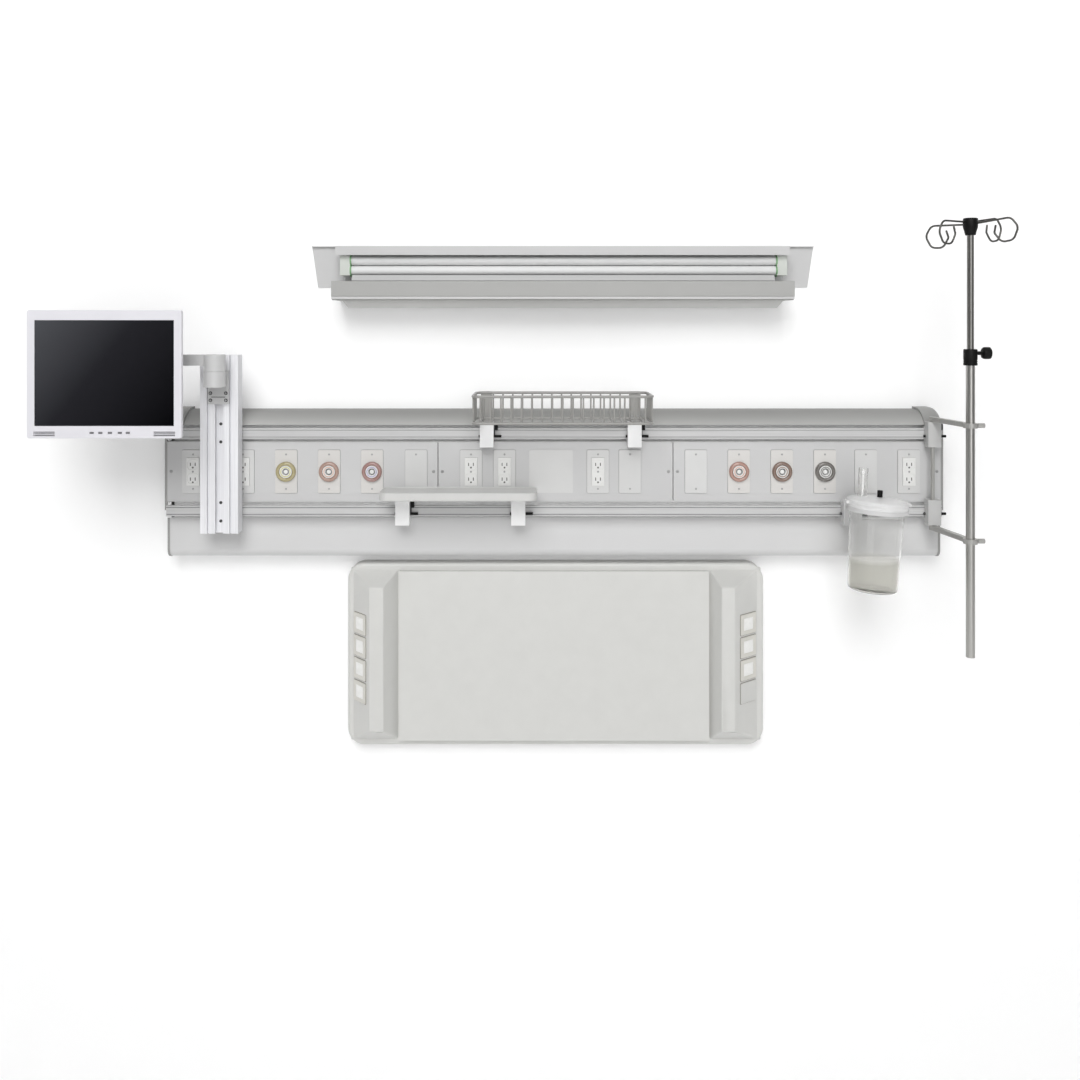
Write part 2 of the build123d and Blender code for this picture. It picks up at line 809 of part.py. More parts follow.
# Arm post: T-shaped runner in the column's channel, carriage plate, round post and its spindle
carriage_back = column_front + runner_gap
carriage_front = carriage_back + carriage_thickness
with BuildPart() as arm_post:
    block(around(column_x, carriage_width / 2), (carriage_back, carriage_front),
          (carriage_bottom, post_top))
    neck = channel_mouth / 2 - runner_gap
    head = channel_inner / 2 - runner_gap
    runner_back = channel_face + screw_head_height + runner_screw_gap
    runner_face = column_front - channel_lip - runner_gap
    block(around(column_x, neck), (runner_face - runner_gap, carriage_back), (carriage_bottom, post_top))
    block(around(column_x, head), (runner_back, runner_face), (carriage_bottom, post_top))
    block(around(post_x, post_radius / 2), (carriage_back, post_depth), (post_bottom, post_top))
    rod((post_x, post_depth, post_bottom), (post_x, post_depth, post_top), post_radius)
    rod((post_x, post_depth, post_top), (post_x, post_depth, arm_top), spindle_radius)
    for side in (1, -1):
        for height in carriage_screw_heights:
            x = column_x + side * carriage_screw_x
            rod((x, carriage_front, height), (x, carriage_front + screw_head_height, height),
                screw_head_radius)
arm_post.part.label = "arm_post"
export_step(arm_post.part, "parts/arm_post.step")

# Monitor arm: hub on the spindle, bar and eye at its end
hub_bottom = post_top + head_drop_gap
with BuildPart() as monitor_arm:
    with BuildSketch(plan(arm_bottom)):
        bar = Vector(post_x - arm_end_x, arm_end_depth - post_depth)
        turn = degrees(atan2(bar.Y, bar.X))
        with Locations(Location(((post_x + arm_end_x) / 2, -(post_depth + arm_end_depth) / 2), turn)):
            Rectangle(bar.length, arm_width)
        with Locations((arm_end_x, -arm_end_depth)):
            Circle(arm_end_radius)
    extrude(amount=arm_top - arm_bottom)
    rod((post_x, post_depth, hub_bottom), (post_x, post_depth, arm_top), post_radius)
    rod((post_x, post_depth, hub_bottom - overrun), (post_x, post_depth, arm_top + overrun),
        spindle_radius + spindle_fit, Mode.SUBTRACT)
    rod((arm_end_x, arm_end_depth, arm_bottom - overrun),
        (arm_end_x, arm_end_depth, arm_top + overrun), head_pin_radius + spindle_fit, Mode.SUBTRACT)
monitor_arm.part.label = "monitor_arm"
export_step(monitor_arm.part, "parts/monitor_arm.step")

# Monitor head: swivel pin up through the arm's eye, fork forward to the tilt pin
head_top = arm_bottom - head_drop_gap
with BuildPart() as monitor_head:
    rod((arm_end_x, arm_end_depth, head_bottom), (arm_end_x, arm_end_depth, head_top), arm_end_radius)
    rod((arm_end_x, arm_end_depth, head_top), (arm_end_x, arm_end_depth, arm_top + head_drop_gap),
        head_pin_radius)
    rod((arm_end_x, arm_end_depth, arm_top + head_drop_gap),
        (arm_end_x, arm_end_depth, arm_top + head_drop_gap + head_cap_height), head_cap_radius)
    fork = around(arm_end_x, fork_width / 2)
    block(fork, (arm_end_depth, tilt_depth), around(tilt_height, fork_half_height))
    rod((fork[0], tilt_depth, tilt_height), (fork[1], tilt_depth, tilt_height), tilt_knuckle_radius)
    rod((fork[0] - tilt_pin_reach, tilt_depth, tilt_height),
        (fork[1] + tilt_pin_reach, tilt_depth, tilt_height), tilt_pin_radius)
monitor_head.part.label = "monitor_head"
export_step(monitor_head.part, "parts/monitor_head.step")

# Monitor housing: hollow back shell with two ears on the tilt pin
monitor_middle = (monitor_bottom + monitor_top) / 2
bezel_back = monitor_front - bezel_thickness
with BuildPart() as monitor_housing:
    with BuildSketch(front(bezel_back)):
        with Locations((monitor_x, monitor_middle)):
            RectangleRounded(monitor_width - 2 * housing_inset,
                             monitor_top - monitor_bottom - 2 * housing_inset, monitor_round)
    with BuildSketch(front(monitor_back)):
        with Locations((monitor_x, monitor_middle)):
            RectangleRounded(monitor_width - 2 * housing_taper,
                             monitor_top - monitor_bottom - 2 * housing_taper, monitor_round)
    loft()
    with BuildSketch(front(bezel_back)):
        with Locations((monitor_x, monitor_middle)):
            RectangleRounded(monitor_width - 2 * housing_inset - 2 * housing_wall,
                             monitor_top - monitor_bottom - 2 * housing_inset - 2 * housing_wall,
                             monitor_round / 2)
    with BuildSketch(front(monitor_back + housing_wall)):
        with Locations((monitor_x, monitor_middle)):
            RectangleRounded(monitor_width - 2 * housing_taper - 2 * housing_wall,
                             monitor_top - monitor_bottom - 2 * housing_taper - 2 * housing_wall,
                             monitor_round / 2)
    loft(mode=Mode.SUBTRACT)
    for side in (1, -1):
        near = arm_end_x + side * (fork_width / 2 + ear_gap)
        far = near + side * ear_thickness
        ear = (min(near, far), max(near, far))
        block(ear, (tilt_depth, monitor_back + housing_wall), around(tilt_height, tilt_knuckle_radius))
        rod((ear[0], tilt_depth, tilt_height), (ear[1], tilt_depth, tilt_height), tilt_knuckle_radius)
    reach = fork_width / 2 + tilt_pin_reach + overrun
    rod((arm_end_x - reach, tilt_depth, tilt_height), (arm_end_x + reach, tilt_depth, tilt_height),
        tilt_pin_radius + spindle_fit, Mode.SUBTRACT)
monitor_housing.part.label = "monitor_housing"
export_step(monitor_housing.part, "parts/monitor_housing.step")

# Monitor bezel: front frame with a lip round the screen, key openings and two speaker slots
screen_xs = around(monitor_x, screen_width / 2)
screen_heights = (screen_bottom, screen_bottom + screen_height)
screen_face = monitor_front - screen_recess
key_slots = [(x, key_strip_height) for x in key_strip_x]
with BuildPart() as monitor_bezel:
    with BuildSketch(front(bezel_back)):
        with Locations((monitor_x, monitor_middle)):
            RectangleRounded(monitor_width, monitor_top - monitor_bottom, monitor_round)
        area(screen_xs, screen_heights, mode=Mode.SUBTRACT)
        with Locations(*key_slots):
            Rectangle(monitor_key_width + 2 * fit_gap, monitor_key_height + 2 * fit_gap, mode=Mode.SUBTRACT)
        for side in (1, -1):
            x = monitor_x + side * speaker_slot_offset
            for row in (-1, 0, 1):
                with Locations((x, speaker_slot_height + speaker_slot_pitch * row)):
                    Rectangle(speaker_slot_length, speaker_slot_width, mode=Mode.SUBTRACT)
    extrude(amount=bezel_thickness)
    pocket = (bezel_back, screen_face)
    block(around(monitor_x, screen_width / 2 + bezel_lip), pocket,
          (screen_heights[0] - bezel_lip, screen_heights[1] + bezel_lip), Mode.SUBTRACT)
    fillet(monitor_bezel.faces().sort_by(Axis.Y)[0].outer_wire().edges(), radius=bezel_round)
monitor_bezel.part.label = "monitor_bezel"
export_step(monitor_bezel.part, "parts/monitor_bezel.step")

# Monitor screen: flat panel behind the bezel's lip
with BuildPart() as monitor_screen:
    block(around(monitor_x, screen_width / 2 + bezel_lip - fit_gap),
          (screen_face - screen_thickness, screen_face),
          (screen_heights[0] - bezel_lip + fit_gap, screen_heights[1] + bezel_lip - fit_gap))
monitor_screen.part.label = "monitor_screen"
export_step(monitor_screen.part, "parts/monitor_screen.step")

# Monitor key strip: one moulding, five keys on a thin bending bar behind the bezel
with BuildPart() as monitor_key_strip:
    block((key_strip_x[0] - monitor_key_width, key_strip_x[-1] + monitor_key_width),
          (bezel_back - key_strip_back, bezel_back), around(key_strip_height, monitor_key_height))
    with BuildSketch(front(bezel_back)):
        with Locations(*key_slots):
            Rectangle(monitor_key_width, monitor_key_height)
    extrude(amount=bezel_thickness + monitor_key_proud)
monitor_key_strip.part.label = "monitor_key_strip"
export_step(monitor_key_strip.part, "parts/monitor_key_strip.step")


def rim(height, left, right, back, face):
    """Round-cornered ring of wire at a height."""
    with BuildLine(plan(height)) as ring:
        corners = [(left, -back), (left, -face), (right, -face), (right, -back)]
        FilletPolyline(*corners, radius=basket_corner, close=True)
    start = ring.line.edges()[0]
    with BuildSketch(Plane(origin=start @ 0, z_dir=start % 0)) as wire:
        Circle(rim_radius)
    sweep(wire.sketch, path=ring.line)


# Basket: two rims, upright and floor wires welded between them, and two flat straps at the back
rim_left = basket_left + rim_radius
rim_right = basket_right - rim_radius
rim_back = basket_back + rim_radius
rim_face = basket_front - rim_radius
rim_low = basket_bottom + rim_radius
rim_high = basket_top - rim_radius
wire_count = int((rim_right - rim_left - 2 * basket_corner) // wire_pitch) + 1
wire_start = (rim_left + rim_right) / 2 - (wire_count - 1) / 2 * wire_pitch
upright = rim_high - rim_low
with BuildPart() as basket:
    rim(rim_high, rim_left, rim_right, rim_back, rim_face)
    rim(rim_low, rim_left, rim_right, rim_back, rim_face)
    wires_x = [wire_start + k * wire_pitch for k in range(wire_count)]
    stand = [(x, -depth, (rim_low + rim_high) / 2) for x in wires_x for depth in (rim_back, rim_face)]
    side_step = (rim_face - rim_back - 2 * basket_corner) / (side_wire_count - 1)
    stand += [(x, -(rim_back + basket_corner + k * side_step), (rim_low + rim_high) / 2)
              for x in (rim_left, rim_right) for k in range(side_wire_count)]
    with Locations(*stand):
        Cylinder(wire_radius, upright)
    with Locations(*[(x, -(rim_back + rim_face) / 2, rim_low) for x in wires_x]):
        Cylinder(wire_radius, rim_face - rim_back, rotation=(90, 0, 0))
    for x in basket_clamp_x:
        block(around(x, strap_width / 2), (basket_back - strap_thickness, basket_back + rim_radius),
              (clamp_top, basket_top))
basket.part.label = "basket"
export_step(basket.part, "parts/basket.step")

# Basket clamps: each has a tongue up its back that the strap is screwed to
with BuildPart() as basket_clamps:
    for x in basket_clamp_x:
        clamp(x, basket_clamp_width, upper_rail_height)
        tongue_front = basket_back - strap_thickness
        block(around(x, strap_width / 2), (tongue_front - tongue_depth, tongue_front),
              (clamp_top - edge_round, clamp_top + strap_overlap))
        lever_hole(x, basket_clamp_width, upper_rail_height)
basket_clamps.part.label = "basket_clamps"
export_step(basket_clamps.part, "parts/basket_clamps.step")

with BuildPart() as basket_lever_left:
    lever(basket_clamp_x[0], basket_clamp_width, upper_rail_height)
basket_lever_left.part.label = "basket_lever_left"
export_step(basket_lever_left.part, "parts/basket_lever_left.step")

with BuildPart() as basket_lever_right:
    lever(basket_clamp_x[1], basket_clamp_width, upper_rail_height)
basket_lever_right.part.label = "basket_lever_right"
export_step(basket_lever_right.part, "parts/basket_lever_right.step")

# Shelf: board with round corners and a shallow tray in its top
with BuildPart() as shelf:
    with BuildSketch(plan(shelf_bottom)) as board:
        area((shelf_left, shelf_right), (-shelf_front, -shelf_back))
        fillet(board.vertices(), shelf_corner)
    extrude(amount=shelf_top - shelf_bottom)
    with BuildSketch(plan(shelf_top - shelf_wall / 2)) as tray:
        area((shelf_left + shelf_wall, shelf_right - shelf_wall),
             (-shelf_front + shelf_wall, -shelf_back - shelf_wall))
        fillet(tray.vertices(), shelf_corner - shelf_wall)
    extrude(amount=shelf_wall, mode=Mode.SUBTRACT)
    fillet(shelf.faces().sort_by(Axis.Z)[0].outer_wire().edges(), radius=shelf_edge_round)
shelf.part.label = "shelf"
export_step(shelf.part, "parts/shelf.step")

# Shelf clamps: each carries the shelf on a tongue; the right one has a plain cross pin
shelf_clamp_top = lower_rail_height + clamp_half_height
with BuildPart() as shelf_clamps:
    for x in shelf_clamp_x:
        clamp(x, shelf_clamp_width, lower_rail_height)
        block(around(x, strap_width / 2), (rail_front + clamp_gap, clamp_front),
              (shelf_clamp_top - edge_round, shelf_bottom))
    lever_hole(shelf_clamp_x[0], shelf_clamp_width, lower_rail_height)
    cross_pin(shelf_clamp_x[1], shelf_clamp_width, lower_rail_height)
shelf_clamps.part.label = "shelf_clamps"
export_step(shelf_clamps.part, "parts/shelf_clamps.step")

with BuildPart() as shelf_lever:
    lever(shelf_clamp_x[0], shelf_clamp_width, lower_rail_height)
shelf_lever.part.label = "shelf_lever"
export_step(shelf_lever.part, "parts/shelf_lever.step")

# Canister: everything below stands on the jar's own leaning axis
lean = radians(jar_tilt_degrees)
jar_axis = Vector(sin(lean), 0, cos(lean))
jar_origin = Vector(jar_x, -jar_depth, jar_rim_height)


def jar_plane(rise=0.0):
    """Plane square to the jar's axis, a rise above the jar's rim."""
    return Plane(origin=jar_origin + jar_axis * rise, x_dir=(cos(lean), 0, -sin(lean)), z_dir=jar_axis)


def jar_section():
    """Plane through the jar's axis: radius and rise above the rim."""
    return Plane(origin=jar_origin, x_dir=(cos(lean), 0, -sin(lean)), z_dir=(0, -1, 0))


with BuildPart() as canister_jar:
    with BuildSketch(jar_section()):
        with BuildLine():
            Polyline((0, -jar_height), (jar_bottom_radius, -jar_height),
                     (jar_top_radius, -jar_rim_thickness), (jar_rim_radius, -jar_rim_thickness),
                     (jar_rim_radius, 0), (jar_top_radius - jar_wall, 0),
                     (jar_bottom_radius - jar_wall, -jar_height + jar_wall),
                     (0, -jar_height + jar_wall), (0, -jar_height))
        make_face()
    revolve(axis=Axis(jar_origin, jar_axis))
canister_jar.part.label = "canister_jar"
export_step(canister_jar.part, "parts/canister_jar.step")

# Canister lid: crowned disc with a skirt outside the jar's rim, and a lug at each side
skirt_inner = jar_rim_radius + lid_fit
with BuildPart() as canister_lid:
    with BuildSketch(jar_section()):
        with BuildLine():
            crown = Line((0, lid_thickness + lid_crown), (tube_radius, lid_thickness + lid_crown))
            brow = TangentArc(crown @ 1, (lid_radius - edge_round, lid_thickness / 2), tangent=(1, 0))
            Polyline(brow @ 1, (lid_radius, 0), (lid_radius, lid_thickness - lid_skirt),
                     (skirt_inner, lid_thickness - lid_skirt), (skirt_inner, 0), (0, 0), crown @ 0)
        make_face()
    revolve(axis=Axis(jar_origin, jar_axis))
    with BuildSketch(jar_plane(-lid_lug_height)):
        reach = lid_radius + lid_lug_reach
        area((-reach, -lid_radius + lid_fit), around(0, lid_lug_width / 2))
        area((lid_radius - lid_fit, reach), around(0, lid_lug_width / 2))
    extrude(amount=lid_lug_height)
    with BuildSketch(jar_plane(lid_thickness)):
        with Locations((cap_knob_x, cap_knob_y)):
            Circle(cap_spigot_radius + cap_spigot_fit)
    extrude(amount=lid_thickness + lid_crown, mode=Mode.SUBTRACT)
canister_lid.part.label = "canister_lid"
export_step(canister_lid.part, "parts/canister_lid.step")

# Valve tube: clear tube with a stem in it, both seated on the lid's crown
crown_top = lid_thickness + lid_crown
with BuildPart() as canister_tube:
    with BuildSketch(jar_plane(lid_thickness)):
        with Locations((tube_offset_x, tube_offset_y)):
            Circle(tube_radius)
            Circle(tube_radius - tube_wall, mode=Mode.SUBTRACT)
            Circle(stem_radius)
    extrude(amount=tube_height)
    add(canister_lid.part, mode=Mode.SUBTRACT)
canister_tube.part.label = "canister_tube"
export_step(canister_tube.part, "parts/canister_tube.step")

# Canister cap: round knob, its spigot in the lid's port
with BuildPart() as canister_cap:
    with BuildSketch(jar_plane(crown_top + fit_gap)):
        with Locations((cap_knob_x, cap_knob_y)):
            Circle(cap_knob_radius)
    extrude(amount=cap_knob_height)
    with BuildSketch(jar_plane(crown_top + fit_gap)):
        with Locations((cap_knob_x, cap_knob_y)):
            Circle(cap_spigot_radius)
    extrude(amount=-cap_spigot_length + fit_gap)
canister_cap.part.label = "canister_cap"
export_step(canister_cap.part, "parts/canister_cap.step")

# Canister bracket: rail clamp with a plain cross pin, an arm, and the ring that the lid's skirt rests on
ring_inner = jar_top_radius + bracket_ring_gap
ring_outer = ring_inner + bracket_ring_wall
ring_rise = lid_thickness - lid_skirt - lid_fit
with BuildPart() as canister_bracket:
    clamp(bracket_x, bracket_width, lower_rail_height)
    cross_pin(bracket_x, bracket_width, lower_rail_height)
    with BuildSketch(jar_plane(ring_rise - bracket_ring_height)):
        Circle(ring_outer)
    extrude(amount=bracket_ring_height)
    arm_top_height = shelf_clamp_top - bracket_arm_drop
    block(around(bracket_x, bracket_arm_width / 2), (rail_front + clamp_gap, jar_depth - ring_inner / 2),
          (arm_top_height - bracket_arm_height, arm_top_height))
    with BuildSketch(jar_plane(ring_rise - jar_height / 2)):
        Circle(ring_inner)
    extrude(amount=jar_height, mode=Mode.SUBTRACT)
canister_bracket.part.label = "canister_bracket"
export_step(canister_bracket.part, "parts/canister_bracket.step")

# Pole blocks: one clamp on each rail, both bored for the swing rod
rod_bore = rod_radius + rod_fit
with BuildPart() as pole_blocks:
    for height in (upper_rail_height, lower_rail_height):
        clamp(block_x, block_width, height)
    lever_hole(block_x, block_width, upper_rail_height)
    cross_pin(block_x, block_width, lower_rail_height)
    rod((rod_x, rod_depth, lower_rail_height - 2 * clamp_half_height),
        (rod_x, rod_depth, upper_rail_height + 2 * clamp_half_height), rod_bore, Mode.SUBTRACT)
pole_blocks.part.label = "pole_blocks"
export_step(pole_blocks.part, "parts/pole_blocks.step")

with BuildPart() as pole_lever:
    lever(block_x, block_width, upper_rail_height)
pole_lever.part.label = "pole_lever"
export_step(pole_lever.part, "parts/pole_lever.step")

# Swing frame: rod through both blocks, an arm above the upper one and one below the lower one
upper_arm = (clamp_top + swing_arm_gap, clamp_top + swing_arm_gap + swing_arm_height)
lower_block_bottom = lower_rail_height - clamp_half_height
lower_arm = (lower_block_bottom - swing_arm_gap - swing_arm_height, lower_block_bottom - swing_arm_gap)
pole_bore = lower_tube_radius + pole_fit
swing_run = Vector(pole_x - rod_x, rod_depth - pole_depth)
swing_turn = degrees(atan2(swing_run.Y, swing_run.X))
with BuildPart() as swing_frame:
    rod((rod_x, rod_depth, lower_arm[0]), (rod_x, rod_depth, upper_arm[1]), rod_radius)
    for arm in (upper_arm, lower_arm):
        with BuildSketch(plan(arm[0])):
            with Locations(Location(((rod_x + pole_x) / 2, -(rod_depth + pole_depth) / 2), swing_turn)):
                Rectangle(swing_run.length, swing_arm_width)
            with Locations((rod_x, -rod_depth)):
                Circle(swing_boss_radius)
            with Locations((pole_x, -pole_depth)):
                Circle(pole_ring_radius)
                Circle(pole_bore, mode=Mode.SUBTRACT)
        extrude(amount=swing_arm_height)
        middle = sum(arm) / 2
        rod((pole_x, pole_depth, middle), (pole_x + 2 * pole_ring_radius, pole_depth, middle),
            ring_screw_radius + rod_fit, Mode.SUBTRACT)
swing_frame.part.label = "swing_frame"
export_step(swing_frame.part, "parts/swing_frame.step")


def ring_screw(middle):
    """Thumb screw in a ring's side: threaded stub and long round head."""
    tip = pole_x + pole_bore + fit_gap
    seat = pole_x + pole_ring_radius + fit_gap
    rod((tip, pole_depth, middle), (seat, pole_depth, middle), ring_screw_radius)
    rod((seat, pole_depth, middle), (seat + ring_screw_head_length, pole_depth, middle),
        ring_screw_head_radius)


with BuildPart() as ring_screw_upper:
    ring_screw(sum(upper_arm) / 2)
ring_screw_upper.part.label = "ring_screw_upper"
export_step(ring_screw_upper.part, "parts/ring_screw_upper.step")

with BuildPart() as ring_screw_lower:
    ring_screw(sum(lower_arm) / 2)
ring_screw_lower.part.label = "ring_screw_lower"
export_step(ring_screw_lower.part, "parts/ring_screw_lower.step")

# Lower tube of the pole, closed at its foot
with BuildPart() as pole_lower_tube:
    rod((pole_x, pole_depth, lower_tube_bottom), (pole_x, pole_depth, collar_seat), lower_tube_radius)
    rod((pole_x, pole_depth, lower_tube_bottom + lower_tube_floor),
        (pole_x, pole_depth, collar_seat + overrun), lower_tube_radius - lower_tube_wall, Mode.SUBTRACT)
pole_lower_tube.part.label = "pole_lower_tube"
export_step(pole_lower_tube.part, "parts/pole_lower_tube.step")

# Collar: sits on the lower tube and guides the upper one; bored at its side for the knob's stem
with BuildPart() as pole_collar:
    rod((pole_x, pole_depth, collar_bottom), (pole_x, pole_depth, collar_top), collar_radius)
    rod((pole_x, pole_depth, collar_bottom - overrun), (pole_x, pole_depth, collar_seat), lower_tube_radius,
        Mode.SUBTRACT)
    rod((pole_x, pole_depth, collar_bottom), (pole_x, pole_depth, collar_top + overrun),
        upper_tube_radius + pole_fit, Mode.SUBTRACT)
    rod((pole_x, pole_depth, knob_height), (pole_x + 2 * collar_radius, pole_depth, knob_height),
        knob_stem_radius + rod_fit, Mode.SUBTRACT)
    fillet(pole_collar.edges().filter_by(GeomType.CIRCLE).group_by(Axis.Z)[-1].sort_by(SortBy.RADIUS)[-1],
           radius=edge_round)
pole_collar.part.label = "pole_collar"
export_step(pole_collar.part, "parts/pole_collar.step")

# Collar knob: stem into the collar and a rounded grip
stem_tip = pole_x + upper_tube_radius + pole_fit + fit_gap
knob_start = pole_x + collar_radius + knob_stem_length
with BuildPart() as collar_knob:
    rod((knob_start, pole_depth, knob_height), (knob_start + knob_length, pole_depth, knob_height),
        knob_radius)
    fillet(collar_knob.edges().filter_by(GeomType.CIRCLE), radius=knob_round)
    rod((stem_tip, pole_depth, knob_height), (knob_start + overrun, pole_depth, knob_height),
        knob_stem_radius)
collar_knob.part.label = "collar_knob"
export_step(collar_knob.part, "parts/collar_knob.step")

# Upper tube: slides in the collar and the lower tube
with BuildPart() as pole_upper_tube:
    rod((pole_x, pole_depth, upper_tube_bottom), (pole_x, pole_depth, upper_tube_top), upper_tube_radius)
    rod((pole_x, pole_depth, upper_tube_bottom - overrun),
        (pole_x, pole_depth, upper_tube_top + overrun),
        upper_tube_radius - upper_tube_wall, Mode.SUBTRACT)
pole_upper_tube.part.label = "pole_upper_tube"
export_step(pole_upper_tube.part, "parts/pole_upper_tube.step")

# Hook points along one arm, as distance from the pole's axis and height over the arm's root
hook_points = [(0, 0), (92, 7), (108, -18), (95, -48), (68, -51), (53, -27), (57, -10)]
hook_radii = [16, 20, 16, 16, 8]


def hook_arm(turn_degrees, root):
    """Wire out from the head, round its loop and back up under itself, in one upright plane."""
    turn = radians(turn_degrees)
    slope = tan(radians(hook_lean_degrees)) * cos(turn)
    along = Vector(cos(turn), sin(turn), slope)
    across = Vector(-sin(turn), cos(turn), 0)
    side_plane = Plane(origin=(pole_x, -pole_depth, root), x_dir=along, z_dir=across * -1)
    with BuildLine(side_plane) as path:
        FilletPolyline(*hook_points, radius=hook_radii)
    wire = path.line
    with BuildSketch(Plane(origin=wire @ 0, z_dir=wire % 0)) as end:
        Circle(hook_wire_radius)
    sweep(end.sketch, path=wire)


# Hook wires: two crossed wires through the head, one a wire's width above the other
with BuildPart() as hook_wires:
    for level, turn_degrees in enumerate(hook_plan_degrees):
        for opposite in (0, 180):
            hook_arm(turn_degrees + opposite, hook_wire_height - level * hook_wire_step)
hook_wires.part.label = "hook_wires"
export_step(hook_wires.part, "parts/hook_wires.step")

# Hook head: tapered moulding over the tube's end, slotted for the wires
with BuildPart() as hook_head:
    with BuildSketch(Plane(origin=(pole_x, -pole_depth, 0), x_dir=(1, 0, 0), z_dir=(0, -1, 0))):
        with BuildLine():
            Polyline((0, hook_head_bottom), (hook_head_low_radius, hook_head_bottom),
                     (hook_head_radius, upper_tube_top), (hook_head_radius, hook_head_top),
                     (0, hook_head_top), (0, hook_head_bottom))
        make_face()
    revolve(axis=Axis((pole_x, -pole_depth, 0), (0, 0, 1)))
    rod((pole_x, pole_depth, hook_head_bottom - overrun), (pole_x, pole_depth, upper_tube_top),
        upper_tube_radius, Mode.SUBTRACT)
    add(hook_wires.part, mode=Mode.SUBTRACT)
hook_head.part.label = "hook_head"
export_step(hook_head.part, "parts/hook_head.step")

# Light tray: wall sheet with slanted end wings, and a hood over the tubes
with BuildPart() as light_tray:
    with BuildSketch(front(0)):
        with BuildLine():
            Polyline((light_left, light_top), (light_left + wing_slant, light_bottom),
                     (light_right - wing_slant, light_bottom), (light_right, light_top), close=True)
        make_face()
    extrude(amount=tray_sheet)
    with BuildSketch(section(trough_right)):
        area((0, hood_depth), (hood_height - tray_sheet, hood_height))
        area((hood_depth - tray_sheet, hood_depth), (hood_height - hood_lip, hood_height))
    extrude(amount=trough_right - trough_left)
    for xs in ((light_left, trough_left), (trough_right, light_right)):
        block(xs, (0, wing_fold), (light_top - tray_sheet, light_top))
    for x in (-light_hole_x, light_hole_x):
        for height in light_hole_heights:
            rod((x, -overrun, height), (x, tray_sheet + overrun, height), wall_hole_radius, Mode.SUBTRACT)
light_tray.part.label = "light_tray"
export_step(light_tray.part, "parts/light_tray.step")

# Lamp holders: one block at each end, bored for both tubes
with BuildPart() as lamp_holders:
    for xs in ((lamp_left, lamp_left + holder_width), (lamp_right - holder_width, lamp_right)):
        block(xs, (tray_sheet, lamp_depth + holder_half),
              (tube_heights[1] - holder_half, tube_heights[0] + holder_half))
    for height in tube_heights:
        rod((lamp_left - overrun, lamp_depth, height), (lamp_right + overrun, lamp_depth, height),
            lamp_radius + lamp_fit, Mode.SUBTRACT)
lamp_holders.part.label = "lamp_holders"
export_step(lamp_holders.part, "parts/lamp_holders.step")

with BuildPart() as lamp_tubes:
    for height in tube_heights:
        rod((lamp_left, lamp_depth, height), (lamp_right, lamp_depth, height), lamp_radius)
    fillet(lamp_tubes.edges().filter_by(GeomType.CIRCLE), radius=lamp_end_round)
lamp_tubes.part.label = "lamp_tubes"
export_step(lamp_tubes.part, "parts/lamp_tubes.step")


def shade_outline(inset=0.0):
    """Shade's section: sloping top, blunt nose, chin and bottom, with its back on the tray."""
    with BuildLine() as outline:
        Polyline((tray_sheet, shade_top - inset), (shade_depth - inset, shade_nose_top - inset),
                 (shade_depth - inset, shade_nose_bottom + inset / 2),
                 (shade_chin - inset / 2, shade_bottom + inset),
                 (tray_sheet, shade_bottom + inset), close=True)
    make_face(outline.edges())


# Light shade: closed box along the tray's foot
with BuildPart() as light_shade:
    with BuildSketch(section(trough_right)):
        shade_outline()
    extrude(amount=trough_right - trough_left)
    with BuildSketch(section(trough_right - tray_sheet)):
        shade_outline(inset=tray_sheet)
    extrude(amount=trough_right - trough_left - 2 * tray_sheet, mode=Mode.SUBTRACT)
light_shade.part.label = "light_shade"
export_step(light_shade.part, "parts/light_shade.step")

# Lower diffuser: shallow pan under the shade, its ends set in and sloped
with BuildPart() as light_diffuser:
    wide = (trough_left + diffuser_inset, trough_right - diffuser_inset)
    with BuildSketch(plan(shade_bottom)):
        area(wide, (-diffuser_front, -diffuser_back))
    with BuildSketch(plan(diffuser_bottom)):
        area((wide[0] + diffuser_slope, wide[1] - diffuser_slope),
             (-diffuser_front + diffuser_slope, -diffuser_back - diffuser_back_slope))
    loft()
    with BuildSketch(plan(shade_bottom)):
        area((wide[0] + diffuser_wall, wide[1] - diffuser_wall),
             (-diffuser_front + diffuser_wall, -diffuser_back - diffuser_wall))
    with BuildSketch(plan(diffuser_bottom + diffuser_wall)):
        area((wide[0] + diffuser_slope + diffuser_wall, wide[1] - diffuser_slope - diffuser_wall),
             (-diffuser_front + diffuser_slope + diffuser_wall,
              -diffuser_back - diffuser_back_slope - diffuser_wall))
    loft(mode=Mode.SUBTRACT)
light_diffuser.part.label = "light_diffuser"
export_step(light_diffuser.part, "parts/light_diffuser.step")

# Console plate: flat sheet screwed to the wall behind the shell
console_x = (console_left + console_right) / 2
console_middle = (console_bottom + console_top) / 2
console_plate_inset = console_wall + console_plate_fit
console_width = console_right - console_left
console_height = console_top - console_bottom
with BuildPart() as console_plate:
    with BuildSketch(front(0)):
        with Locations((console_x, console_middle)):
            RectangleRounded(console_width - 2 * console_plate_inset,
                             console_height - 2 * console_plate_inset,
                             console_corner - console_plate_inset)
        with Locations(*[(x, z) for x in (-console_hole_x, console_hole_x) for z in console_hole_heights]):
            Circle(wall_hole_radius, mode=Mode.SUBTRACT)
    extrude(amount=chassis_wall)
console_plate.part.label = "console_plate"
export_step(console_plate.part, "parts/console_plate.step")


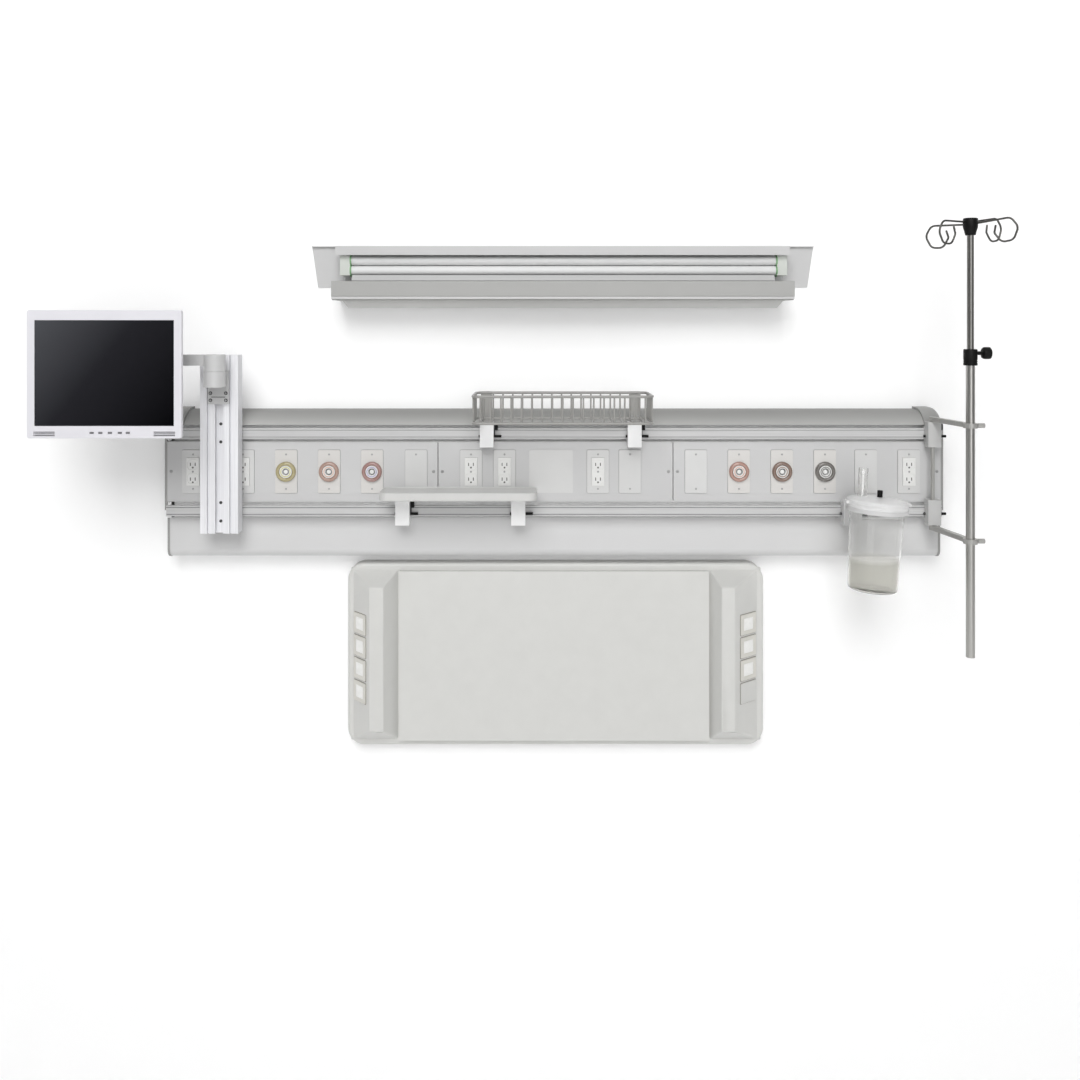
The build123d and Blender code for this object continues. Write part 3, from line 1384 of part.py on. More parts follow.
def bolster(outer, crest, inner, inset=0.0, mode=Mode.ADD):
    """Raised bolster: sloped sides and ends between the base and a narrow crest."""
    sign = 1 if outer < inner else -1
    with BuildSketch(front(console_edge_depth - console_edge_round - inset)) as foot:
        area(sorted((outer + sign * 2 * inset, inner - sign * inset)),
             (slope_bottom + 2 * inset, slope_top - 2 * inset))
    with BuildSketch(front(crest_depth - inset)) as crown:
        area(sorted((crest[0] + sign * inset / 2, crest[1] - sign * inset / 2)),
             (crest_bottom + inset / 2, crest_top - inset / 2))
    raised = loft([foot.sketch, crown.sketch], mode=Mode.PRIVATE)
    if mode is Mode.ADD:
        low = console_edge_depth - console_edge_round
        upper_edges = raised.edges().filter_by(lambda e: e.center().Y < -low - overrun)
        raised = raised.fillet(crest_round, upper_edges)
    add(raised, mode=mode)


left_crest = crest_left
right_crest = (crest_right[1], crest_right[0])


def key_plane(side, height):
    """Plane on a bolster's outer slope at a key's centre: X across the slope, Y up."""
    outer = slope_outer[side]
    crest = (left_crest, right_crest)[side][0]
    foot = console_edge_depth - console_edge_round
    run = Vector(crest - outer, 0, 0) + Vector(0, -(crest_depth - foot), 0)
    middle = Vector((outer + crest) / 2, -(crest_depth + foot) / 2, height)
    normal = Vector(0, 0, 1).cross(run) if side else run.cross(Vector(0, 0, 1))
    normal = normal if normal.Y < 0 else normal * -1
    across = Vector(0, 0, 1).cross(normal)
    return Plane(origin=middle, x_dir=across, z_dir=normal)


key_widths = (key_left_width, key_right_width)
key_heights = [key_first - k * key_pitch for k in range(key_count)]
live_keys = [(side, height) for side in (0, 1) for height in key_heights][:-1]

# Console shell: rounded box with two bolsters and a flat centre, hollow behind; the plain key at its
# lower right is a blank moulded on
with BuildPart() as console_shell:
    with BuildSketch(front(0)):
        with Locations((console_x, console_middle)):
            RectangleRounded(console_width, console_height, console_corner)
    extrude(amount=console_edge_depth)
    fillet(console_shell.faces().sort_by(Axis.Y)[0].outer_wire().edges(), radius=console_edge_round)
    bolster(slope_outer[0], left_crest, centre_left)
    bolster(slope_outer[1], right_crest, centre_right)
    block((centre_left, centre_right), (console_edge_depth / 2, centre_depth), (centre_bottom, centre_top))
    with BuildSketch(front(0)):
        with Locations((console_x, console_middle)):
            RectangleRounded(console_width - 2 * console_wall, console_height - 2 * console_wall,
                             console_corner - console_wall)
    extrude(amount=console_edge_depth - console_edge_round - console_wall, mode=Mode.SUBTRACT)
    bolster(slope_outer[0], left_crest, centre_left, console_wall, Mode.SUBTRACT)
    bolster(slope_outer[1], right_crest, centre_right, console_wall, Mode.SUBTRACT)
    block((centre_left + console_wall, centre_right - console_wall),
          (console_edge_depth / 2, centre_depth - console_wall),
          (centre_bottom + console_wall, centre_top - console_wall), Mode.SUBTRACT)
    for side, height in live_keys:
        with BuildSketch(key_plane(side, height).offset(-key_cut_depth)):
            Rectangle(key_widths[side], key_height)
        extrude(amount=2 * key_cut_depth, mode=Mode.SUBTRACT)
    with BuildSketch(key_plane(1, key_heights[-1]).offset(-console_wall / 2)):
        RectangleRounded(key_widths[1] - 2 * key_gap, key_height - 2 * key_gap, key_round)
    extrude(amount=console_wall / 2 + key_proud)
console_shell.part.label = "console_shell"
export_step(console_shell.part, "parts/console_shell.step")


def console_key(side, height):
    """Key on a slope: rounded cap with its stem behind, and a sunk window for its label."""
    width = key_widths[side] - 2 * key_gap
    tall = key_height - 2 * key_gap
    inner = console_wall + key_travel + key_spare
    with BuildSketch(key_plane(side, height).offset(-inner)) as cap:
        RectangleRounded(width, tall, key_round)
    extrude(cap.sketch, amount=inner + key_proud)
    with BuildSketch(key_plane(side, height).offset(key_proud - key_window)) as sunk:
        Rectangle(width * key_window_share, tall * key_window_share)
    extrude(sunk.sketch, amount=key_window * 2, mode=Mode.SUBTRACT)


# Console keys: seven with label windows that travel
for number, (side, height) in enumerate(live_keys, start=1):
    with BuildPart() as console_key_part:
        console_key(side, height)
    console_key_part.part.label = f"console_key_{number}"
    export_step(console_key_part.part, f"parts/console_key_{number}.step")
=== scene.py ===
# %% [markdown]
# # Bed head unit
# The solids made in CAD carry every main form of this wall unit. Here they get their finishes, and
# the pieces whose detail a plain solid can't carry are made again as surfaces worked out with numpy:
# gas outlets, screws, wire basket, lamp tubes, canister, hooks and knobs.

import json
from math import pi, radians

import bmesh
import bpy
import numpy as np
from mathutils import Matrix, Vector


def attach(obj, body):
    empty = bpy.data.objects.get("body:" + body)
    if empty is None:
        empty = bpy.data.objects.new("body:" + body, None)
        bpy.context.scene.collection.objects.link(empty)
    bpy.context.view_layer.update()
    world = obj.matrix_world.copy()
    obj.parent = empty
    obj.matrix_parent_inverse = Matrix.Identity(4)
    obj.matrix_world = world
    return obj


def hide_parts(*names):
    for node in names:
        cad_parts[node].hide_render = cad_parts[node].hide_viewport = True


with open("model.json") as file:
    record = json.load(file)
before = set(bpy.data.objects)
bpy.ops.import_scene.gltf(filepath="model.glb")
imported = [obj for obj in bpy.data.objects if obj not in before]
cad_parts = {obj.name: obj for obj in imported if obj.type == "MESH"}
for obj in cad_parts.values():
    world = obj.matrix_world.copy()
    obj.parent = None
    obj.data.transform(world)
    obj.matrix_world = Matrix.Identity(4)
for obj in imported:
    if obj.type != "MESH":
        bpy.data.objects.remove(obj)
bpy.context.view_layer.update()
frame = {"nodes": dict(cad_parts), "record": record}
nodes = frame["nodes"]
home = {}
for body, members in frame["record"]["behaviour"]["bodies"].items():
    for member in members:
        home[member] = body

# %% [markdown]
# ## Camera
# The photograph is a level view with its horizon well above the middle of the picture. A camera
# tilted down would make upright lines lean, so this camera looks straight along +Y and its picture
# is shifted down instead, as an architect's lens does.

# %% Camera
PHOTO_SIDE = 1080
PHOTO_HORIZON = 322
camera_data = bpy.data.cameras.new("camera")
camera_data.lens = 34.40
camera_data.sensor_width = 36.0
camera_data.shift_y = (PHOTO_HORIZON - PHOTO_SIDE / 2) / PHOTO_SIDE
camera = bpy.data.objects.new("camera", camera_data)
camera.location = (-0.0371, -2.825, 0.4286)
camera.rotation_euler = (pi / 2, 0, 0)
bpy.context.scene.collection.objects.link(camera)
bpy.context.scene.camera = camera
bpy.context.scene.view_settings.view_transform = "Standard"
print("camera shift", round(camera_data.shift_y, 4))

# %% [markdown]
# ## Node helpers
# Every finish below is a small tree of shader nodes. Writing each link by hand hides what matters,
# so two helpers do it: one starts a material with its surface shader, one adds a node and joins it.

# %% Node helpers
def new_finish(name, **sockets):
    """Material with one Principled shader whose plain numbers and colours are set on its sockets."""
    material = bpy.data.materials.new(name)
    material.use_nodes = True
    shader = material.node_tree.nodes["Principled BSDF"]
    for key, value in sockets.items():
        shader.inputs[key.replace("_", " ")].default_value = value
    return material, material.node_tree, shader


def add_node(tree, kind, links=None, **values):
    """Adds a node, sets its values and joins each named input to an output."""
    node = tree.nodes.new(kind)
    for key, value in values.items():
        if key in node.inputs:
            node.inputs[key].default_value = value
        else:
            setattr(node, key, value)
    for key, output in (links or {}).items():
        tree.links.new(output, node.inputs[key])
    return node


def object_grain(tree, scale, stretch=(1, 1, 1), detail=3.0):
    """Noise on the piece's own coordinates, stretched along its axes."""
    place = add_node(tree, "ShaderNodeTexCoord")
    turn = add_node(tree, "ShaderNodeMapping", {"Vector": place.outputs["Object"]}, Scale=stretch)
    return add_node(tree, "ShaderNodeTexNoise", {"Vector": turn.outputs["Vector"]},
                    Scale=scale, Detail=detail)


def level(tree, source, low, high):
    """Carries a 0 to 1 pattern to the span between two values."""
    node = add_node(tree, "ShaderNodeMapRange", {"Value": source})
    node.inputs["To Min"].default_value = low
    node.inputs["To Max"].default_value = high
    return node.outputs["Result"]


def two_tones(tree, source, first, second):
    """Colour between two tones, led by a pattern."""
    ramp = add_node(tree, "ShaderNodeValToRGB", {"Fac": source})
    ramp.color_ramp.elements[0].position = 0.3
    ramp.color_ramp.elements[1].position = 0.7
    ramp.color_ramp.elements[0].color = (*first, 1)
    ramp.color_ramp.elements[1].color = (*second, 1)
    return ramp.outputs["Color"]


def shade_of(colour, factor):
    """The same colour, lighter or darker."""
    return tuple(min(1.0, c * factor) for c in colour)


def linear(*rgb):
    """Linear colour of an 8-bit screen colour."""
    screen = np.array(rgb) / 255
    return tuple(np.where(screen < 0.0405, screen / 12.92, ((screen + 0.055) / 1.055) ** 2.4).tolist())


print("helpers ready")

# %% [markdown]
# ## Finishes
# Powder coat is paint baked from powder: it covers evenly but dries with a very fine ripple, and its
# sheen is soft. A noise of about a millimetre gives the ripple, a broad one varies colour and sheen a
# little, as on a large sheet that has been wiped for years.

# %% Powder coat
def powder_coat(name, colour, rough=0.42, ripple=0.14):
    """Painted sheet: fine ripple in the normal, broad faint clouds in colour and roughness."""
    material, tree, shader = new_finish(name)
    clouds = object_grain(tree, 6.0)
    tree.links.new(two_tones(tree, clouds.outputs["Fac"], shade_of(colour, 0.985), shade_of(colour, 1.01)),
                   shader.inputs["Base Color"])
    tree.links.new(level(tree, clouds.outputs["Fac"], rough - 0.05, rough + 0.07),
                   shader.inputs["Roughness"])
    peel = object_grain(tree, 700.0, detail=2.0)
    bump = add_node(tree, "ShaderNodeBump", {"Height": peel.outputs["Fac"]},
                    Strength=ripple, Distance=0.0003)
    tree.links.new(bump.outputs["Normal"], shader.inputs["Normal"])
    return material


# %% [markdown]
# Extruded aluminium and stainless bars are drawn or brushed along their length, so their scratches
# run that way. The noise is stretched a hundredfold along the piece, which turns its grains into lines.

# %% Drawn metal
def drawn_metal(name, colour, rough, stretch, metallic=1.0, depth=0.35):
    """Metal with fine lines along one axis, in roughness, colour and normal."""
    material, tree, shader = new_finish(name, Metallic=metallic, Anisotropic=0.35)
    lines = object_grain(tree, 1.0, stretch, detail=4.0)
    tree.links.new(two_tones(tree, lines.outputs["Fac"], shade_of(colour, 0.9), shade_of(colour, 1.06)),
                   shader.inputs["Base Color"])
    tree.links.new(level(tree, lines.outputs["Fac"], rough - 0.08, rough + 0.12),
                   shader.inputs["Roughness"])
    bump = add_node(tree, "ShaderNodeBump", {"Height": lines.outputs["Fac"]},
                    Strength=depth, Distance=0.0002)
    tree.links.new(bump.outputs["Normal"], shader.inputs["Normal"])
    return material


# %% [markdown]
# Moulded plastic copies the etched steel of its mould: a pebble grain far below a millimetre, or none
# where it was polished. A clear coat over it gives the gloss of outlet plates and canister.

# %% Moulded plastic
def moulded(name, colour, rough=0.45, grain=0.25, coat=0.0, gloss=0.5):
    """Plastic with a fine pebble grain and faint clouds in its colour."""
    material, tree, shader = new_finish(name, Coat_Weight=coat, Coat_Roughness=0.12,
                                        Specular_IOR_Level=gloss)
    clouds = object_grain(tree, 25.0)
    tree.links.new(two_tones(tree, clouds.outputs["Fac"], shade_of(colour, 0.985), shade_of(colour, 1.01)),
                   shader.inputs["Base Color"])
    tree.links.new(level(tree, clouds.outputs["Fac"], rough - 0.05, rough + 0.05),
                   shader.inputs["Roughness"])
    pebble = object_grain(tree, 1800.0, detail=1.0)
    bump = add_node(tree, "ShaderNodeBump", {"Height": pebble.outputs["Fac"]},
                    Strength=grain, Distance=0.0002)
    tree.links.new(bump.outputs["Normal"], shader.inputs["Normal"])
    return material


# %% [markdown]
# ## The finishes of this unit
# Colours are read as the surface shows them in plain light. The trunking's sheets are a cool light
# grey, the top cover a darker grey, the console a warm one.

# %% Mix the finishes
ALONG_X = (4, 500, 500)
ALONG_Z = (500, 500, 4)
EVEN = (300, 300, 300)
finishes = {
    "sheet": powder_coat("sheet_grey_white", linear(205, 205, 205)),
    "panel": powder_coat("service_panel_grey", linear(197, 197, 197)),
    "cap": powder_coat("end_cap_grey", linear(152, 152, 150), rough=0.4),
    "clamp": powder_coat("clamp_white", linear(243, 243, 243), rough=0.4),
    "column": drawn_metal("column_aluminium", linear(233, 233, 236), 0.42, ALONG_Z,
                          metallic=0.08, depth=0.1),
    "rail": drawn_metal("rail_aluminium", linear(197, 197, 197), 0.42, ALONG_X,
                        metallic=0.15, depth=0.1),
    "chassis": powder_coat("chassis_white", linear(250, 250, 250), rough=0.5),
    "light_sheet": powder_coat("light_sheet", linear(197, 197, 197), rough=0.45),
    "reflector": powder_coat("light_reflector_white", linear(250, 250, 250), rough=0.35),
    "shade": powder_coat("light_shade_grey", linear(166, 166, 164), rough=0.4),
    "diffuser": powder_coat("light_diffuser_grey", linear(198, 198, 196), rough=0.4),
    "outlet": moulded("outlet_ivory_white", linear(226, 226, 224), rough=0.3, grain=0.05, coat=0.4),
    "dark_slot": moulded("outlet_slot_dark", linear(92, 90, 88), rough=0.5),
    "rim_shadow": moulded("plate_rim_shadow_grey", linear(150, 150, 150), rough=0.6),
    "box": moulded("outlet_box_grey", linear(120, 124, 130)),
    "arm": powder_coat("arm_white", linear(200, 200, 200), rough=0.35),
    "monitor": moulded("monitor_shell_white", linear(222, 221, 226), rough=0.4, grain=0.2),
    "housing": moulded("monitor_back_grey", linear(120, 120, 122), rough=0.45, grain=0.2),
    "black": moulded("lever_black", linear(18, 18, 18), rough=0.48, grain=0.3, gloss=0.15),
    "shelf": moulded("shelf_white", linear(204, 204, 202), rough=0.38, grain=0.15),
    "block": powder_coat("pole_block_grey", linear(190, 190, 189)),
    "wire": powder_coat("basket_wire_grey", linear(150, 149, 146), rough=0.35, ripple=0.1),
    "pole": drawn_metal("pole_stainless", linear(178, 177, 174), 0.3, ALONG_Z, depth=0.12),
    "upper_pole": drawn_metal("upper_pole_stainless", linear(138, 137, 134), 0.3, ALONG_Z, depth=0.12),
    "swing": drawn_metal("swing_frame_steel", linear(170, 169, 166), 0.36, ALONG_Z, metallic=0.4),
    "hook": drawn_metal("hook_wire_steel", linear(92, 91, 88), 0.34, (120, 120, 120)),
    "screw": drawn_metal("screw_steel", linear(168, 168, 168), 0.4, EVEN, metallic=0.6),
    "dark_screw": drawn_metal("column_screw_steel", linear(72, 72, 72), 0.45, EVEN, metallic=0.3),
    "holder": moulded("lamp_holder_pale", linear(206, 210, 204), rough=0.5),
    "green": moulded("lamp_holder_green", linear(120, 168, 118), rough=0.5),
    "console": moulded("console_warm_grey", linear(207, 207, 204), rough=0.42, grain=0.2),
    "key": moulded("console_key_grey", linear(214, 212, 205), rough=0.45, grain=0.2),
    "key_gap": moulded("console_key_gap_painted_shadow", linear(138, 134, 126), rough=0.6),
}

# %% [markdown]
# The top cover is a sheet rolled over the top edge. Its grey carries painted shade: dark at the back
# and lighter towards the rail, so it follows the height. The plates round the gas outlets have a
# faint warm tint that the others lack: a compare node gives one inside each group of three, 0 outside.

# %% Cover and plates
def by_height(tree, low, high):
    """0 at a height of the piece's own coordinates and 1 at another, in metres."""
    place = add_node(tree, "ShaderNodeTexCoord")
    split = add_node(tree, "ShaderNodeSeparateXYZ", {"Vector": place.outputs["Object"]})
    ramp = add_node(tree, "ShaderNodeMapRange", {"Value": split.outputs["Z"]})
    ramp.inputs["From Min"].default_value = low
    ramp.inputs["From Max"].default_value = high
    return ramp.outputs["Result"]


def mixed(tree, factor, first, second):
    """Colour between two colours or sockets, led by a factor."""
    mix = add_node(tree, "ShaderNodeMixRGB", {"Fac": factor})
    for name, value in (("Color1", first), ("Color2", second)):
        if isinstance(value, tuple):
            mix.inputs[name].default_value = (*value, 1)
        else:
            tree.links.new(value, mix.inputs[name])
    return mix.outputs["Color"]


cover = powder_coat("top_cover_grey_painted_shade", linear(180, 180, 178), rough=0.5)
tree = cover.node_tree
coat = tree.nodes["Principled BSDF"].inputs["Base Color"]
cloudy = coat.links[0].from_socket
# painted shade: the grey darkens towards the cover's back edge at the top
tree.links.new(mixed(tree, by_height(tree, 0.152, 0.192), cloudy, linear(136, 136, 134)), coat)
finishes["cover"] = cover

plate = moulded("outlet_plate_white", linear(206, 206, 205), rough=0.35, grain=0.08, coat=0.2)
tree = plate.node_tree
coat = tree.nodes["Principled BSDF"].inputs["Base Color"]
cloudy = coat.links[0].from_socket
place = add_node(tree, "ShaderNodeTexCoord")
spot = add_node(tree, "ShaderNodeSeparateXYZ", {"Vector": place.outputs["Object"]})
GAS_MIDDLES = (-0.5956, 0.6035)
GAS_REACH = 0.145
near = []
for middle in GAS_MIDDLES:
    compare = add_node(tree, "ShaderNodeMath", {"Value": spot.outputs["X"]}, operation="COMPARE")
    compare.inputs[1].default_value = middle
    compare.inputs[2].default_value = GAS_REACH
    near.append(compare)
either = add_node(tree, "ShaderNodeMath", {"Value": near[0].outputs[0]}, operation="ADD")
tree.links.new(near[1].outputs[0], either.inputs[1])
tree.links.new(mixed(tree, either.outputs[0], cloudy, linear(208, 206, 203)), coat)
finishes["plate"] = plate
print("finishes mixed:", len(finishes))

# %% Give the solids their finishes
WEARS = {
    "sheet": ["lower_cover"], "panel": ["service_panels"], "cover": ["top_cover"], "cap": ["end_caps"],
    "clamp": ["column_clamps", "basket_clamps", "shelf_clamps", "canister_bracket"],
    "column": ["column"], "rail": ["upper_rail", "lower_rail"],
    "chassis": ["wall_chassis", "rail_spacers", "console_plate"],
    "light_sheet": ["light_tray"], "shade": ["light_shade"], "diffuser": ["light_diffuser"],
    "plate": ["wall_plates"], "outlet": ["duplex_outlets", "lamp_tubes", "gas_sockets"],
    "box": ["outlet_boxes"], "arm": ["arm_post", "monitor_arm", "monitor_head"],
    "monitor": ["monitor_bezel"], "housing": ["monitor_housing", "monitor_key_strip"],
    "black": ["basket_lever_left", "basket_lever_right", "shelf_lever", "pole_lever",
              "pole_collar", "collar_knob", "hook_head", "canister_cap", "monitor_screen"],
    "shelf": ["shelf"], "block": ["pole_blocks"], "wire": ["basket"],
    "pole": ["pole_lower_tube"], "upper_pole": ["pole_upper_tube"],
    "swing": ["swing_frame", "ring_screw_upper", "ring_screw_lower"],
    "hook": ["hook_wires"], "screw": ["cover_screws", "gas_collars"], "holder": ["lamp_holders"],
    "console": ["console_shell"], "key": [f"console_key_{number}" for number in range(1, 8)],
}


def wear(node, material):
    """Puts one material in every slot of a solid's object."""
    for place in nodes[node].material_slots:
        place.link = "OBJECT"
        place.material = material


for finish_name, members in WEARS.items():
    for member in members:
        wear(member, finishes[finish_name])
print("solids with a finish:", sum(len(m) for m in WEARS.values()))

# %% [markdown]
# ## Surfaces from formulas
# Most pieces here are one of three surfaces: a profile turned round an axis, a circle carried along a
# bent path, or a flat outline given a thickness with rounded edges. Each is a grid of points worked
# out as whole arrays, and one function joins any grid's points into faces.

# %% Grids into meshes
MM = 0.001


def grid_faces(rows, columns, closed_rows=False):
    """Four-cornered faces between neighbouring points of a grid whose columns run round and close."""
    last = rows if closed_rows else rows - 1
    row, column = np.meshgrid(np.arange(last), np.arange(columns), indexing="ij")
    after, beside = (row + 1) % rows, (column + 1) % columns
    return np.stack([row * columns + column, row * columns + beside,
                     after * columns + beside, after * columns + column], axis=-1).reshape(-1, 4)


def make_piece(name, grids, body, material, stands_for=()):
    """Joins grids of points (rows, columns, 3), in millimetres, into one closed, outward-facing piece."""
    points, faces, count = [], [], 0
    for grid, closed_rows in grids:
        rows, columns = grid.shape[:2]
        faces.append(grid_faces(rows, columns, closed_rows) + count)
        points.append(grid.reshape(-1, 3))
        count += rows * columns
    mesh = bpy.data.meshes.new(name)
    mesh.from_pydata((np.concatenate(points) * MM).tolist(), [], np.concatenate(faces).tolist())
    shape = bmesh.new()
    shape.from_mesh(mesh)
    bmesh.ops.remove_doubles(shape, verts=shape.verts, dist=1e-6)
    bmesh.ops.recalc_face_normals(shape, faces=shape.faces)
    shape.to_mesh(mesh)
    shape.free()
    settle(name, mesh, body, material, stands_for)


def settle(name, mesh, body, material, stands_for=(), smooth_angle=35):
    """Puts a finished mesh in the scene: material, smooth shading up to an angle, body and slot."""
    piece = bpy.data.objects.new(name, mesh)
    bpy.context.scene.collection.objects.link(piece)
    mesh.materials.clear()
    mesh.materials.append(material)
    mesh.shade_smooth()
    mesh.set_sharp_from_angle(angle=radians(smooth_angle))
    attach(piece, body)
    if stands_for:
        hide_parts(*stands_for)
    print(name, len(mesh.polygons), "faces")
    return piece


def unit(vectors):
    """The same directions with length one."""
    vectors = np.asarray(vectors, float)
    return vectors / np.linalg.norm(vectors, axis=-1, keepdims=True)


def turned(profile, centre, axis, sides=48, lobes=0, lobe_depth=0.0):
    """Turned surface: a profile point (r, h) goes to centre + h axis + r (cos t u + sin t v), t all
    the way round. Lobes multiply r by 1 + depth cos(lobes t). A profile that returns to its start
    closes into a ring; one that starts and ends at r = 0 closes at its poles."""
    profile = np.asarray(profile, float)
    axis = unit(axis)
    u = unit(np.cross(axis, (0.31, 0.95, 0.11)))
    v = np.cross(axis, u)
    t = np.linspace(0, 2 * pi, sides, endpoint=False)
    ring = np.cos(t)[:, None] * u + np.sin(t)[:, None] * v
    swell = (1 + lobe_depth * np.cos(lobes * t))[None, :, None]
    radius, height = profile[:, 0, None, None], profile[:, 1, None, None]
    grid = np.asarray(centre, float) + height * axis + radius * ring * swell
    closed = bool(profile[0, 0] > 0 and profile[-1, 0] > 0)
    return grid, closed


def bent_path(points, radii, spacing=3.0, closed=False):
    """Points along straight runs joined by arcs: each corner is cut back by r tan(a / 2), a being its
    turn, and the arc between is sampled at equal angles."""
    points = np.asarray(points, float)
    path = [] if closed else [points[:1]]
    total = len(points)
    for corner in range(total if closed else total - 2):
        at = corner if closed else corner + 1
        before, here, after = points[at - 1], points[at], points[(at + 1) % total]
        arrive, leave = unit(here - before), unit(after - here)
        turn = np.arccos(np.clip(arrive @ leave, -1, 1))
        radius = radii[corner] if np.ndim(radii) else radii
        start = here - arrive * radius * np.tan(turn / 2)
        inward = unit(leave - arrive * (arrive @ leave))
        a = np.linspace(0, turn, max(4, int(radius * turn / spacing) + 2))[:, None]
        path.append(start + radius * (np.sin(a) * arrive + (1 - np.cos(a)) * inward))
    if not closed:
        path.append(points[-1:])
    return np.concatenate(path)


def bar(path, radius, normal, sides=12, closed=False):
    """Round bar along a path in one plane: path + r (cos t n + sin t (n x tangent)), n the plane's
    normal. An open bar ends in two domes: rings r cos a wide, r sin a further on."""
    path = np.asarray(path, float)
    step = (np.roll(path, -1, 0) - np.roll(path, 1, 0)) if closed else np.gradient(path, axis=0)
    tangent = unit(step)
    reach = np.full(len(path), float(radius))
    if not closed:
        a = np.linspace(pi / 2, 0, 5)[:-1, None]
        first = path[0] - tangent[0] * radius * np.sin(a)
        last = path[-1] + tangent[-1] * radius * np.sin(a[::-1])
        path = np.concatenate([first, path, last])
        tangent = np.concatenate([np.repeat(tangent[:1], 4, 0), tangent, np.repeat(tangent[-1:], 4, 0)])
        dome = radius * np.cos(a[:, 0])
        reach = np.concatenate([dome, reach, dome[::-1]])
    normal = unit(normal)
    side = np.cross(normal, tangent)
    t = np.linspace(0, 2 * pi, sides, endpoint=False)[None, :, None]
    grid = path[:, None, :] + reach[:, None, None] * (np.cos(t) * normal + np.sin(t) * side[:, None, :])
    return grid, closed


def round_rectangle(width, height, radius, steps=6):
    """Outline of a rectangle with quarter circles at its corners, about its middle."""
    a = np.linspace(0, pi / 2, steps)
    arcs = [(np.cos(a + k * pi / 2), np.sin(a + k * pi / 2)) for k in range(4)]
    signs = [(1, 1), (-1, 1), (-1, -1), (1, -1)]
    return np.concatenate([np.stack([sx * (width / 2 - radius) + radius * x,
                                     sy * (height / 2 - radius) + radius * y], axis=-1)
                           for (x, y), (sx, sy) in zip(arcs, signs)])


def slab(width, height, corner, centre, across, up, thickness, edge):
    """Rounded plate: its outline shrinks and rises by a quarter circle at both faces, and each face
    closes at its middle. Its base is at the centre and it grows along across x up."""
    across, up = unit(across), unit(up)
    out = np.cross(across, up)
    a = np.linspace(0, pi / 2, 4)
    inset = np.concatenate([edge * (1 - np.sin(a)), edge * (1 - np.cos(a))])
    rise = np.concatenate([edge * (1 - np.cos(a)), thickness - edge * (1 - np.sin(a))])
    rings = [round_rectangle(width - 2 * i, height - 2 * i, max(corner - i, 0.01)) for i in inset]
    rings = np.stack([rings[0] * 0, *rings, rings[0] * 0])
    rise = np.concatenate([[0], rise, [thickness]])
    flat = rings[..., :1] * across + rings[..., 1:] * up
    grid = np.asarray(centre, float) + flat + rise[:, None, None] * out
    return grid, False


ACROSS, OUT, UP = np.array((1.0, 0, 0)), np.array((0, -1.0, 0)), np.array((0, 0, 1.0))
OUTLET_Z = 32.5
PLATE_FRONT = 93.0
CARRIAGE_FRONT = 157.3
COLUMN_X = -869.0
RAIL_Z = {"upper": 134.0, "lower": -70.0}
print("surfaces ready")

# %% [markdown]
# ## Softened solids
# A sheet-metal or moulded edge is never knife sharp: its small radius catches a line of light, and
# without it a render looks like paper. For a blocky solid the quickest honest way is a copy with its
# doubled points joined and its flat faces merged, under a live Bevel that only takes sharp edges.

# %% Softened copies
def soften(node, finish, width):
    """Copy of a solid with rounded sharp edges, in that solid's place."""
    shape = bmesh.new()
    shape.from_mesh(nodes[node].data)
    bmesh.ops.remove_doubles(shape, verts=shape.verts, dist=2e-6)
    bmesh.ops.dissolve_limit(shape, angle_limit=radians(0.5), verts=shape.verts, edges=shape.edges)
    mesh = bpy.data.meshes.new("soft_" + node)
    shape.to_mesh(mesh)
    shape.free()
    piece = settle("soft_" + node, mesh, home[node], finishes[finish], (node,), smooth_angle=30)
    bevel = piece.modifiers.new("edge", "BEVEL")
    bevel.width = width * MM
    bevel.segments = 2
    bevel.limit_method = "ANGLE"
    bevel.angle_limit = radians(40)
    bevel.use_clamp_overlap = True


for node, finish, width in (
        ("column_clamps", "clamp", 1.0), ("basket_clamps", "clamp", 1.2), ("shelf_clamps", "clamp", 1.2),
        ("pole_blocks", "block", 1.2), ("arm_post", "arm", 1.5), ("monitor_arm", "arm", 2.5),
        ("monitor_head", "arm", 1.2), ("monitor_bezel", "monitor", 0.5), ("light_tray", "light_sheet", 0.5),
        ("lamp_holders", "holder", 1.0), ("basket_lever_left", "black", 0.8),
        ("basket_lever_right", "black", 0.8), ("shelf_lever", "black", 0.8), ("pole_lever", "black", 0.8),
        ("canister_bracket", "sheet", 1.2), ("swing_frame", "swing", 1.0), ("light_shade", "shade", 1.5),
        ("light_diffuser", "diffuser", 0.8), ("shelf", "shelf", 1.5), ("console_shell", "console", 2.0),
        ("end_caps", "cap", 1.0)):
    soften(node, finish, width)

# %% [markdown]
# ## Gas outlets
# Each outlet is a turned fitting on its wall plate: a wide coloured collar that tells the gas, a pale
# face, a thinner coloured ring on that face and a bore for the probe. One profile turned round the
# outlet's axis makes each, so all six share it and differ in colour alone.

# %% Gas outlets
GAS_PITCH = 113.8
GAS_X = [middle / MM + k * GAS_PITCH for middle in GAS_MIDDLES for k in (-1, 0, 1)]
COLLAR_TONES = [linear(166, 156, 118), linear(168, 140, 128), linear(156, 122, 116),
                linear(168, 132, 120), linear(126, 104, 92), linear(108, 104, 100)]
RING_TONES = [linear(206, 202, 150), linear(214, 182, 168), linear(178, 172, 200),
              linear(206, 168, 154), linear(152, 130, 120), linear(134, 132, 130)]
COLLAR = [(17.0, 0), (26.5, 0), (26.5, 4.6), (26.0, 6.4), (24.8, 7.8), (23.2, 8.7), (21.4, 9.0),
          (19.4, 8.8), (18.0, 8.0), (17.2, 6.6), (17.0, 5.0)]
FACE = [(9.05, 0), (16.5, 0), (16.5, 1.2), (16.0, 1.7), (14.2, 1.8), (10.4, 1.8), (9.5, 1.5),
        (9.05, 0.9)]
RING = [(11.2, 0), (13.8, 0), (13.8, 0.6), (13.4, 1.0), (11.6, 1.0), (11.2, 0.6)]
